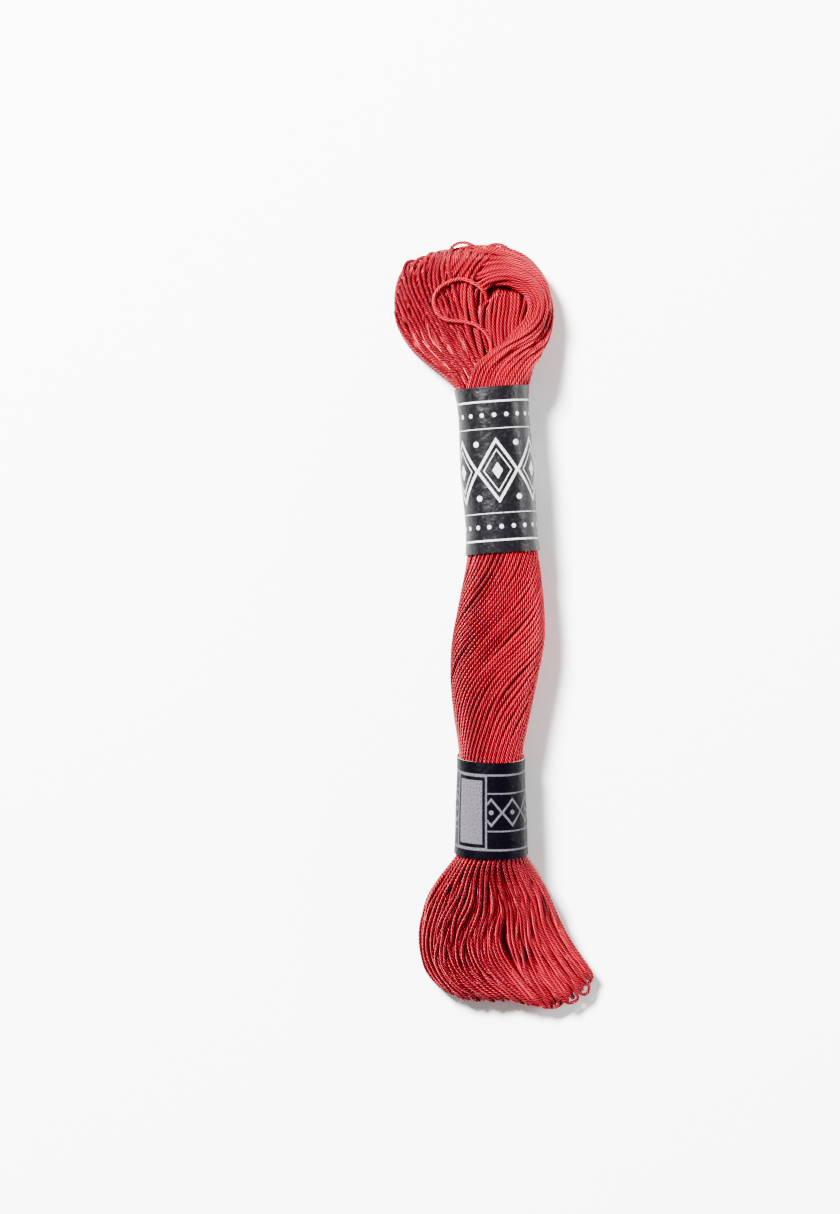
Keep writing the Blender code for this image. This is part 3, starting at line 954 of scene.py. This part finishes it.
def turned_back(rng, front, back):
    """One loop of the foot: along the front run, round the fan's end, and back below."""
    rise = max((front[1][-1, 2] - back[1][-1, 2]) / 2, 0.3)
    halves = []
    for neck, fan in (front, back):
        distance = along(fan)
        spare = 0.95 * rise + 0.25 * (2.4 - rise) + rng.normal(0, 0.05)
        halves.append(np.concatenate([neck, fan[distance < distance[-1] - spare]]))
    one, other = halves
    heading = unit(unit(one[-1] - one[-4]) + unit(other[-1] - other[-4]))
    heading[2] = 0
    top, bottom = one[-1, 2], other[-1, 2]
    rise = max((top - bottom) / 2, 0.6)
    angle = np.linspace(math.pi / 2, -math.pi / 2, 13)[1:-1, None]
    side = (1 - np.sin(angle)) / 2
    bend = one[-1] * (1 - side) + other[-1] * side + unit(heading) * 0.95 * rise * np.cos(angle)
    bend[:, 2] = (top + bottom) / 2 + rise * np.sin(angle[:, 0])
    return resampled(np.concatenate([one, bend, other[::-1]]), LINE_STEP)


def foot_strands(loops, radius):
    """The loops of the foot, each from the neck over the fan, round its end and back below."""
    rng = np.random.default_rng(13)
    starts = middle_places(loops, radius)[1][:, -1]
    shares = np.linspace(0, 1, 41)
    rows = [row[1:] for row in FOOT_DEPTHS]
    depth = through([row.share for row in FOOT_DEPTHS], rows, shares)
    order, height, place, level = foot_places(starts)
    runs = [
        foot_run(rng, starts[k], place[k], level[k], shares, depth, radius)
        for k in range(len(starts))
    ]
    pairs = foot_pairs(order, height, level)
    return [turned_back(rng, runs[front], runs[back]) for front, back in pairs]


def shown_parts(strands):
    """For each strand, which of its points show, and how far each leans out of the thread.

    A point's lean is how far its neighbours within reach lie to one side of it. It is near
    nothing deep inside the thread, and largest at the surface.
    """
    points = np.concatenate(strands)
    strand = np.concatenate([np.full(len(line), i) for i, line in enumerate(strands)])
    i, j = close_pairs(points, strand, 2.1)
    apart = points[j] - points[i]
    count = np.bincount(i, minlength=len(points)) + np.bincount(j, minlength=len(points))
    lean = summed(i, apart, len(points)) - summed(j, apart, len(points))
    lean = np.linalg.norm(lean, axis=1) / np.maximum(count, 1)
    lean = np.where(count > 0, lean, ALONE)
    shown, start = [], 0
    for line in strands:
        own = lean[start : start + len(line)]
        start += len(line)
        hidden = np.zeros(len(line), bool)
        for low, high in BAND_STRETCHES:
            hidden |= (line[:, 1] > low + 2) & (line[:, 1] < high - 2)
        seen = (own > SURFACE_LEAN) & ~hidden
        seen = np.convolve(seen, np.ones(9), "same") > 0
        shown.append((seen & ~hidden, own))
    return shown


def ring_stations(distance, visible, step):
    """Where a strand's rings stand, and how many ply steps it has made by then."""
    stations, turns, at, turn = [0.0], [0], 0.0, 0
    length = distance[-1]
    while at < length - 1e-6:
        here = visible[min(np.searchsorted(distance, at), len(visible) - 1)]
        at = min(at + (step if here else BURIED_STEP), length)
        turn += 1 if here else 0
        stations.append(at)
        turns.append(turn)
    return np.array(stations), np.array(turns)


def square_to(heading):
    """A side direction for each point of a line, square to it and never twisting about it."""
    out = np.empty_like(heading)
    side = np.cross(heading[0], (0.0, 0.0, 1.0))
    side /= np.linalg.norm(side)
    for k in range(len(heading)):
        side = side - heading[k] * (side @ heading[k])
        side /= math.sqrt(side @ side)
        out[k] = side
    return out


def plied_rings(line, visible, tone, step, radius):
    """The rings of one plied strand, shape (rings, RING, 3), and the shade at each ring."""
    distance = along(line)
    stations, turns = ring_stations(distance, visible, step)
    centre = through(distance, line, stations)
    heading = unit(np.gradient(centre, axis=0))
    out = square_to(heading)
    up = np.cross(heading, out)
    near = np.interp(stations, distance, visible.astype(float))[:, None] > 0.5
    ridge = np.where(np.arange(RING) % 2 == 0, 1.0, GROOVE_DEPTH)[None]
    far = radius * np.where(near, ridge, BURIED_RADIUS)
    angle = (2 * math.pi / RING) * (np.arange(RING)[None] - turns[:, None])
    across = out[:, None] * np.cos(angle)[..., None] + up[:, None] * np.sin(angle)[..., None]
    return centre[:, None] + far[..., None] * across, np.interp(stations, distance, tone)


def thread_object(name, strands, shown, tones, sizes, material):
    """One mesh of plied thread along these lines, in full detail where it shows.

    The map's U goes once round the thread and its V is the tone: random dye variation with painted
    shade.
    """
    step = sizes.ply_pitch / MM / RING
    radius = sizes.thread_diameter / MM / 2
    vertices, quads, corners, caps, cap_corners = [], [], [], [], []
    first = 0
    for line, (visible, _), tone in zip(strands, shown, tones):
        rings, shade = plied_rings(line, visible, tone, step, radius)
        count = len(rings)
        vertices.append(rings.reshape(-1, 3))
        row = first + np.arange(count - 1)[:, None] * RING
        here, right = row + np.arange(RING)[None], row + (np.arange(RING)[None] + 1) % RING
        quads.append(np.stack([here, right, right + RING, here + RING], axis=2).reshape(-1, 4))
        left_u = np.broadcast_to(np.arange(RING)[None] / RING, (count - 1, RING))
        right_u = left_u + 1 / RING
        low = np.broadcast_to(shade[:-1, None], left_u.shape)
        high = np.broadcast_to(shade[1:, None], left_u.shape)
        corner = np.stack([left_u, low, right_u, low, right_u, high, left_u, high], axis=2)
        corners.append(corner.reshape(-1, 2))
        caps.append(list(range(first + RING - 1, first - 1, -1)))
        caps.append(list(range(first + (count - 1) * RING, first + count * RING)))
        for value in (shade[0], shade[-1]):
            cap_corners += [(k / RING, value + 0.01 * (k % 3)) for k in range(RING)]
        first += count * RING
    vertices = np.concatenate(vertices) * MM
    corners = np.concatenate(corners + [np.array(cap_corners)])
    mesh = bpy.data.meshes.new(name)
    mesh.from_pydata(vertices.tolist(), [], np.concatenate(quads).tolist() + caps)
    layer = mesh.uv_layers.new(name="OFBake")
    layer.uv.foreach_set("vector", corners.astype(np.float32).ravel())
    mesh.materials.append(material)
    mesh.shade_smooth()
    ends = np.empty(2 * len(mesh.edges), np.int32)
    mesh.edges.foreach_get("vertices", ends)
    ends = ends.reshape(-1, 2)
    in_groove = (ends[:, 0] % 2 == 1) & (np.abs(ends[:, 0] - ends[:, 1]) == RING)
    sharp = mesh.attributes.new("sharp_edge", "BOOLEAN", "EDGE")
    sharp.data.foreach_set("value", in_groove)
    obj = bpy.data.objects.new(name, mesh)
    bpy.context.scene.collection.objects.link(obj)
    return obj


def tones_of(strands, shown, shades):
    """The tone at each point of each strand, from 0 for the deepest to 1: random dye variation,
    with painted shade set by how deep the point lies among the strands and painted shade that is
    darker towards the skein's left.
    """
    rng = np.random.default_rng(shades.seed)
    tones = []
    for line, (_, lean) in zip(strands, shown):
        own = rng.normal(0, 0.085) + waves(rng, 1, along(line), (21, 8), 0.05)[0]
        # Painted shade: darker towards the skein's left and lighter towards its right.
        own = own + shades.slant * np.clip(line[:, 0], -12, 12)
        # Painted shade by how deep a point lies among the strands: the buried level is painted
        # darker in the head and the middle, lighter in the foot.
        depth = eased(lean, 0.1, 0.55)
        tone = shades.buried + (shades.surface - shades.buried) * depth + own
        tones.append(np.clip(tone, *TONE_LIMITS))
    return tones


def add_node(tree, kind, settings=(), links=()):
    """Adds a node with these settings and input links."""
    node = tree.nodes.new(kind)
    for key, value in dict(settings).items():
        if isinstance(key, str) and hasattr(node, key):
            setattr(node, key, value)
        else:
            node.inputs[key].default_value = value
    for socket, source in dict(links).items():
        tree.links.new(source, node.inputs[socket])
    return node


def new_material(name):
    """A material with an empty Principled shader, and its tree."""
    material = bpy.data.materials.new(name)
    material.use_nodes = True
    return material, material.node_tree, material.node_tree.nodes["Principled BSDF"]


def mercerised_cotton(colours):
    """Dyed, mercerised cotton: plied yarn whose smooth fibres give it a silky gloss.

    The dye goes through the fibres, so its highlights are red too, and the grooves between
    the plies are drawn wider than they are so that they show. The colour is painted darker
    towards each groove as painted shade, and the map's V brings in each strand's painted shade.
    """
    name = "Mercerised cotton, dyed coral red"
    if name in bpy.data.materials:
        return bpy.data.materials[name]
    material, tree, shader = new_material(name)
    place = add_node(tree, "ShaderNodeUVMap", {"uv_map": "OFBake"})
    split = add_node(tree, "ShaderNodeSeparateXYZ", links={0: place.outputs["UV"]})
    plies = add_node(
        tree, "ShaderNodeMath", {"operation": "MULTIPLY", 1: float(PLY_RIDGES)},
        {0: split.outputs["X"]},
    )
    groove = add_node(
        tree, "ShaderNodeMath", {"operation": "PINGPONG", 1: 0.5}, {0: plies.outputs[0]}
    )
    # Painted shade in the grooves: the base colour darkens from each ply's crest to the groove
    # between plies.
    between = add_node(
        tree, "ShaderNodeMapRange", {"From Min": 0.02, "From Max": 0.32},
        {"Value": groove.outputs[0]},
    )
    ply = add_node(
        tree, "ShaderNodeMix",
        {"data_type": "RGBA", 6: linear(colours.thread), 7: linear(colours.thread_deep)},
        {0: between.outputs[0]},
    )
    # The map's V is the tone, random dye variation with painted shade, multiplied into the base
    # colour.
    shade = add_node(
        tree, "ShaderNodeMapRange", {"To Min": 0.10, "To Max": 1.20},
        {"Value": split.outputs["Y"]},
    )
    toned = add_node(
        tree, "ShaderNodeMix", {"data_type": "RGBA", "blend_type": "MULTIPLY", 0: 1.0},
        {6: ply.outputs[2], 7: shade.outputs[0]},
    )
    tree.links.new(toned.outputs[2], shader.inputs["Base Color"])
    squared = add_node(
        tree, "ShaderNodeMath", {"operation": "MULTIPLY"},
        {0: groove.outputs[0], 1: groove.outputs[0]},
    )
    fallen = add_node(
        tree, "ShaderNodeMath", {"operation": "MULTIPLY_ADD", 1: -3.8, 2: 1.0},
        {0: squared.outputs[0]},
    )
    round_ply = add_node(
        tree, "ShaderNodeMath", {"operation": "SQRT"}, {0: fallen.outputs[0]}
    )
    raised = add_node(
        tree, "ShaderNodeBump", {"Strength": 1.0, "Distance": PLY_RELIEF},
        {"Height": round_ply.outputs[0]},
    )
    tree.links.new(raised.outputs["Normal"], shader.inputs["Normal"])
    for socket, value in (
        ("Roughness", 0.27),
        ("IOR", 1.65),
        ("Subsurface Weight", 0.35),
        ("Subsurface Radius", (1.0, 0.10, 0.08)),
        ("Subsurface Scale", 0.6 * MM),
        ("Specular IOR Level", 1.0),
        ("Specular Tint", (1.0, 0.10, 0.13, 1.0)),
    ):
        shader.inputs[socket].default_value = value
    return material


def white_paper_sweep(colours):
    """White background paper, lit on its own, so that it is nearly white and takes a shadow."""
    material, tree, shader = new_material("Matt white paper sweep")
    tree.nodes.remove(shader)
    floor = linear(colours.floor)
    seen = add_node(tree, "ShaderNodeLightPath")
    light = add_node(
        tree, "ShaderNodeMix",
        {"data_type": "RGBA", 6: floor, 7: tuple(FLOOR_LIGHT * c for c in floor)},
        {0: seen.outputs["Is Camera Ray"]},
    )
    matt = add_node(tree, "ShaderNodeBsdfDiffuse", links={"Color": light.outputs[2]})
    tree.links.new(matt.outputs[0], tree.nodes["Material Output"].inputs["Surface"])
    return material


def printed_paper(band, black, ink, long):
    """Thin machine-coated paper, printed solid black with its marks left in a pale ink.

    The coating is glossy but scuffed, so that highlights on it are mottled; the scuffs also lighten
    the black in patches, partly as wear and partly as a painted sheen as strong as the coating's
    shine.
    Its pattern is laid out in millimetres from the middle of the front and from the foot-side edge.
    """
    material, tree, shader = new_material(f"Coated paper, printed black, {band.name} band")
    place = add_node(tree, "ShaderNodeUVMap", {"uv_map": "OFBake"})
    middle = long * 0.5 / (1 + PAPER_LAP / (long - PAPER_LAP))
    high = band.head_end - band.foot_end
    flat = add_node(
        tree, "ShaderNodeVectorMath",
        {"operation": "MULTIPLY_ADD", 1: (long, high, 1), 2: (-middle, 0, 0)},
        {0: place.outputs[0]},
    ).outputs[0]
    split = add_node(tree, "ShaderNodeSeparateXYZ", links={0: flat})
    printed = None
    for mark in PRINTS[band.name]:
        # How far a place lies across and up from the mark, and then how far outside it: each
        # is a chain of sums, of an operation and its number.
        aside, above = [], [("SUBTRACT", mark.y), ("ABSOLUTE", 0.0)]
        joined, edge = [], mark.weight / 2
        if mark.kind == "panel":
            aside = [("SUBTRACT", mark.x), ("ABSOLUTE", 0.0), ("SUBTRACT", mark.wide / 2)]
            above.append(("SUBTRACT", mark.high / 2))
            joined = [("MAXIMUM", 0.0)]
        elif mark.kind in ("dots", "lozenges"):
            power = 2.0 if mark.kind == "dots" else 1.0
            aside = [
                ("SUBTRACT", mark.x), ("PINGPONG", mark.pitch / 2),
                ("DIVIDE", mark.wide / 2), ("POWER", power),
            ]
            above += [("DIVIDE", mark.high / 2), ("POWER", power)]
            joined, edge = [("ADD", 0.0), ("SUBTRACT", 1.0)], 2.2 * mark.weight / mark.wide
        if joined and mark.weight:
            joined.append(("ABSOLUTE", 0.0))
        levels = []
        for level, steps in ((split.outputs["X"], aside), (split.outputs["Y"], above)):
            for operation, number in steps:
                settings = {"operation": operation, 1: number}
                level = add_node(tree, "ShaderNodeMath", settings, {0: level}).outputs[0]
            levels.append(level)
        for operation, number in joined:
            settings = {"operation": operation, 1: number}
            sources = {0: level}
            if operation in ("ADD", "MAXIMUM"):
                sources = {0: levels[0], 1: levels[1]}
            level = add_node(tree, "ShaderNodeMath", settings, sources).outputs[0]
        drawn = add_node(
            tree, "ShaderNodeMath", {"operation": "LESS_THAN", 1: edge}, {0: level}
        ).outputs[0]
        if printed is None:
            printed = drawn
        else:
            settings = {"operation": "MAXIMUM"}
            if mark.cut:
                settings = {"operation": "SUBTRACT", "use_clamp": True}
            printed = add_node(
                tree, "ShaderNodeMath", settings, {0: printed, 1: drawn}
            ).outputs[0]
    speckle = add_node(
        tree, "ShaderNodeTexNoise", {"Scale": 3.0, "Detail": 2.0, "Roughness": 0.7},
        {"Vector": flat},
    )
    worn = add_node(
        tree, "ShaderNodeMapRange",
        {"From Min": 0.38, "From Max": 0.58, "To Min": 0.45, "To Max": 1.0},
        {"Value": speckle.outputs[0]},
    )
    inked = add_node(
        tree, "ShaderNodeMath", {"operation": "MULTIPLY"}, {0: printed, 1: worn.outputs[0]}
    )
    scuff = add_node(
        tree, "ShaderNodeTexNoise", {"Scale": 1.1, "Detail": 5.0, "Roughness": 0.75},
        {"Vector": flat},
    )
    # Scuffs lighten the black towards the ink: partly wear, partly a painted sheen, scaled by the
    # coating's shine.
    scuffs_and_painted_sheen = add_node(
        tree, "ShaderNodeMapRange",
        {"From Min": 0.56, "From Max": 0.74, "To Min": 0.0, "To Max": 0.2 * band.gloss},
        {"Value": scuff.outputs[0]},
    )
    ground = add_node(
        tree, "ShaderNodeMix", {"data_type": "RGBA", 6: linear(black), 7: linear(ink)},
        {0: scuffs_and_painted_sheen.outputs[0]},
    )
    colour = add_node(
        tree, "ShaderNodeMix", {"data_type": "RGBA", 7: linear(ink)},
        {0: inked.outputs[0], 6: ground.outputs[2]},
    )
    tree.links.new(colour.outputs[2], shader.inputs["Base Color"])
    shine = add_node(
        tree, "ShaderNodeMapRange",
        {"From Min": 0.35, "From Max": 0.70, "To Min": 0.26, "To Max": 0.50},
        {"Value": scuff.outputs[0]},
    )
    tree.links.new(shine.outputs[0], shader.inputs["Roughness"])
    cockle = add_node(
        tree, "ShaderNodeTexNoise", {"Scale": 0.42, "Detail": 3.0, "Roughness": 0.6},
        {"Vector": flat},
    )
    uneven = add_node(
        tree, "ShaderNodeBump", {"Strength": 1.0, "Distance": PAPER_RELIEF},
        {"Height": cockle.outputs[0]},
    )
    tree.links.new(uneven.outputs["Normal"], shader.inputs["Normal"])
    shader.inputs["IOR"].default_value = 1.5
    shader.inputs["Specular IOR Level"].default_value = band.gloss
    return material


def paper_core(colours):
    """The uncoated inside and cut edges of the paper: matt and off-white."""
    name = "Uncoated paper core, off-white"
    if name in bpy.data.materials:
        return bpy.data.materials[name]
    material, _, shader = new_material(name)
    shader.inputs["Base Color"].default_value = linear(colours.paper_core)
    shader.inputs["Roughness"].default_value = 0.8
    return material


def band_lap(band):
    """How long the strip of a band is, and the share of a full turn that it overlaps itself by."""
    _, _, half_width, half_height, _ = sections_at([(band.foot_end + band.head_end) / 2])
    angle = np.linspace(0, 2 * math.pi, 721)
    around = along(superoval(half_width + PAPER_OUT, half_height + PAPER_OUT, angle))[-1]
    return around + PAPER_LAP, PAPER_LAP / around


def superoval(half_width, half_height, angle):
    """Points of a section's outline at these angles."""
    power = 2 / FLATNESS
    return np.stack(
        [
            half_width * np.sign(np.cos(angle)) * np.abs(np.cos(angle)) ** power,
            half_height * np.sign(np.sin(angle)) * np.abs(np.sin(angle)) ** power,
        ],
        axis=-1,
    )


def wrapped_round(band, flat, lap):
    """Where the points of a flat strip lie once it is wrapped round the hank and glued.

    flat holds each point's share of the strip's length and of its width.
    """
    wrapped = np.empty_like(flat)
    around = np.linspace(-math.pi / 2, -2.5 * math.pi, 1441)
    for up in np.unique(flat[:, 1].round(4)):
        row = np.abs(flat[:, 1] - up) < 1e-3
        y = band.foot_end + up * (band.head_end - band.foot_end)
        middle_x, middle_z, half_width, half_height, _ = section_at(y)
        turn = flat[row, 0] * (1 + lap)
        tucked = 1 - eased(turn, lap, lap + LAP_SPRING)
        outline = superoval(half_width + PAPER_OUT, half_height + PAPER_OUT, around)
        share = along(outline) / along(outline)[-1]
        at = np.interp(turn % 1.0, share, around)
        outwards = PAPER_OUT - (PAPER_WALL + LAP_RISE) * tucked
        reach = np.stack([half_width + outwards, half_height + outwards], axis=1)
        ring = superoval(1.0, 1.0, at) * reach
        leaning = ring[:, 0] * math.sin(math.radians(band.lean))
        tipping = ring[:, 1] * math.sin(math.radians(band.tip))
        wrapped[row, 0] = middle_x + ring[:, 0]
        wrapped[row, 1] = y + leaning + tipping
        wrapped[row, 2] = middle_z + ring[:, 1]
    return wrapped


class SKEIN_OT_stage(bpy.types.Operator):
    """The camera straight above the skein, the floor and the soft lights"""

    bl_idname = "skein.stage"
    bl_label = "Stage"

    def execute(self, context):
        bpy.ops.object.select_all(action="DESELECT")
        camera = bpy.data.cameras.new("Camera")
        camera.lens = CAMERA_LENS
        camera.sensor_width = 36.0
        camera.clip_end = 10
        holder = bpy.data.objects.new("Camera", camera)
        holder.location = CAMERA_PLACE
        context.scene.collection.objects.link(holder)
        context.scene.camera = holder
        bpy.ops.mesh.primitive_plane_add(size=6, location=(0, 0, 0))
        floor = context.active_object
        floor.name = "studio_floor"
        floor.data.materials.append(white_paper_sweep(context.scene.skein_colours))
        world = bpy.data.worlds.new("Studio")
        world.use_nodes = True
        background = world.node_tree.nodes["Background"]
        background.inputs["Color"].default_value = (1, 1, 1, 1)
        background.inputs["Strength"].default_value = WORLD_LIGHT
        context.scene.world = world
        for lamp in LAMPS:
            light = bpy.data.lights.new(lamp.name, "AREA")
            light.size = lamp.size
            light.energy = lamp.power
            holder = bpy.data.objects.new(lamp.name, light)
            holder.location = lamp.place
            x, y, z = -np.array(lamp.place)
            tilt, heading = math.atan2(math.hypot(x, y), -z), math.atan2(y, x)
            holder.rotation_euler = (tilt, 0, heading - math.pi / 2)
            context.scene.collection.objects.link(holder)
        return {"FINISHED"}


class SKEIN_OT_slack_loop(bpy.types.Operator):
    """The slack loop of thread on the head"""

    bl_idname = "skein.slack_loop"
    bl_label = "Slack loop"

    def execute(self, context):
        sizes = context.scene.skein_sizes
        line = resampled(np.array(SLACK_LOOP, float), LINE_STEP)
        shown = [(np.ones(len(line), bool), np.full(len(line), ALONE))]
        tones = tones_of([line], shown, SLACK_TONES)
        material = mercerised_cotton(context.scene.skein_colours)
        loop = thread_object("slack_thread", [line], shown, tones, sizes, material)
        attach(loop, "root")
        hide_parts("slack_loop")
        return {"FINISHED"}


def add_thread(context, strands, shades, names, split, painted_shade_layer=slice(0)):
    """Makes these strands of the hank as two pieces, the second from the strand at split on."""
    shown = shown_parts(strands)
    tones = tones_of(strands, shown, shades)
    # Painted shade: the tones of the head's top layer are lowered.
    for tone in tones[painted_shade_layer]:
        tone[:] = np.maximum(tone - LAYER_SHADE, TONE_LIMITS[0])
    sizes = context.scene.skein_sizes
    material = mercerised_cotton(context.scene.skein_colours)
    for name, part in zip(names, (slice(split), slice(split, None))):
        obj = thread_object(name, strands[part], shown[part], tones[part], sizes, material)
        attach(obj, "root")
        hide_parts("hank")


class SKEIN_OT_head(bpy.types.Operator):
    """The loops of the head, with the layer that comes over its rim at the left"""

    bl_idname = "skein.head"
    bl_label = "Head"

    def execute(self, context):
        loops = context.scene.skein_sizes.loops
        radius = context.scene.skein_sizes.thread_diameter / MM / 2
        strands = settle(head_strands(loops, radius), radius, rounds=40)
        strands += head_layer(strands, radius) + rim_turns(radius) + stray_strands(RIM_LOOPS)
        add_thread(
            context, strands, HEAD_TONES, ("thread_head_front", "thread_head_back"),
            split=bundle_counts(loops)[0], painted_shade_layer=slice(loops, loops + HEAD_LAYER),
        )
        return {"FINISHED"}


class SKEIN_OT_middle(bpy.types.Operator):
    """The turned strands between the paper bands"""

    bl_idname = "skein.middle"
    bl_label = "Middle"

    def execute(self, context):
        loops = context.scene.skein_sizes.loops
        radius = context.scene.skein_sizes.thread_diameter / MM / 2
        strands = settle(middle_strands(loops, radius), radius, 24, MIDDLE_STRETCH)
        names = ("thread_middle_left", "thread_middle_right")
        add_thread(context, strands, MIDDLE_TONES, names, split=loops)
        return {"FINISHED"}


class SKEIN_OT_foot(bpy.types.Operator):
    """The fanned loops of the foot, with the single turns that stand open at its end"""

    bl_idname = "skein.foot"
    bl_label = "Foot"

    def execute(self, context):
        loops = context.scene.skein_sizes.loops
        radius = context.scene.skein_sizes.thread_diameter / MM / 2
        strands = settle(foot_strands(loops, radius), radius, rounds=40)
        strands += stray_strands(TIP_LOOPS)
        names = ("thread_foot_left", "thread_foot_right")
        add_thread(context, strands, FOOT_TONES, names, split=len(strands) // 2)
        return {"FINISHED"}


class SKEIN_OT_bands(bpy.types.Operator):
    """The two paper bands: strips wrapped round the neck and glued underneath"""

    bl_idname = "skein.bands"
    bl_label = "Paper bands"

    def execute(self, context):
        colours = context.scene.skein_colours
        for band in BANDS:
            long, lap = band_lap(band)
            bpy.ops.object.select_all(action="DESELECT")
            bpy.ops.mesh.primitive_grid_add(x_subdivisions=150, y_subdivisions=14, size=1.0)
            strip = context.active_object
            strip.name = f"paper_{band.name}"
            mesh = strip.data
            mesh.uv_layers[0].name = "OFBake"
            flat = np.empty(3 * len(mesh.vertices), np.float32)
            mesh.vertices.foreach_get("co", flat)
            flat = flat.reshape(-1, 3).astype(float) + [0.5, 0.5, 0]
            wrapped = wrapped_round(band, flat, lap) * MM
            mesh.vertices.foreach_set("co", wrapped.astype(np.float32).ravel())
            mesh.update()
            black = getattr(colours, f"{band.name}_paper")
            ink = getattr(colours, f"{band.name}_ink")
            mesh.materials.append(printed_paper(band, black, ink, long))
            mesh.materials.append(paper_core(colours))
            wall = strip.modifiers.new("Paper thickness", "SOLIDIFY")
            wall.thickness = PAPER_WALL * MM
            wall.offset = -1
            wall.material_offset = 1
            wall.material_offset_rim = 1
            bpy.ops.object.modifier_apply(modifier=wall.name)
            bpy.ops.object.shade_smooth_by_angle(angle=math.radians(40))
            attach(strip, "root")
            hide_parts(f"band_{band.name}")
        return {"FINISHED"}


class SKEIN_PT_panel(bpy.types.Panel):
    """The skein's sizes, colours and pieces"""

    bl_idname = "SKEIN_PT_panel"
    bl_label = "Skein of floss"
    bl_space_type = "VIEW_3D"
    bl_region_type = "UI"
    bl_category = "Skein"

    def draw(self, context):
        for group in (context.scene.skein_sizes, context.scene.skein_colours):
            for name in group.__annotations__:
                self.layout.prop(group, name)
        for operator in OPERATORS:
            self.layout.operator(operator.bl_idname)


OPERATORS = (
    SKEIN_OT_stage, SKEIN_OT_slack_loop, SKEIN_OT_head, SKEIN_OT_middle, SKEIN_OT_foot,
    SKEIN_OT_bands,
)
CLASSES = (SkeinSizes, SkeinColours, *OPERATORS, SKEIN_PT_panel)


def register():
    for cls in CLASSES:
        bpy.utils.register_class(cls)
    bpy.types.Scene.skein_sizes = bpy.props.PointerProperty(type=SkeinSizes)
    bpy.types.Scene.skein_colours = bpy.props.PointerProperty(type=SkeinColours)


def unregister():
    del bpy.types.Scene.skein_colours
    del bpy.types.Scene.skein_sizes
    for cls in reversed(CLASSES):
        bpy.utils.unregister_class(cls)


def main():
    register()
    bpy.ops.skein.stage()
    bpy.ops.skein.slack_loop()
    bpy.ops.skein.head()
    bpy.ops.skein.middle()
    bpy.ops.skein.foot()
    bpy.ops.skein.bands()


if __name__ == "__main__":
    main()
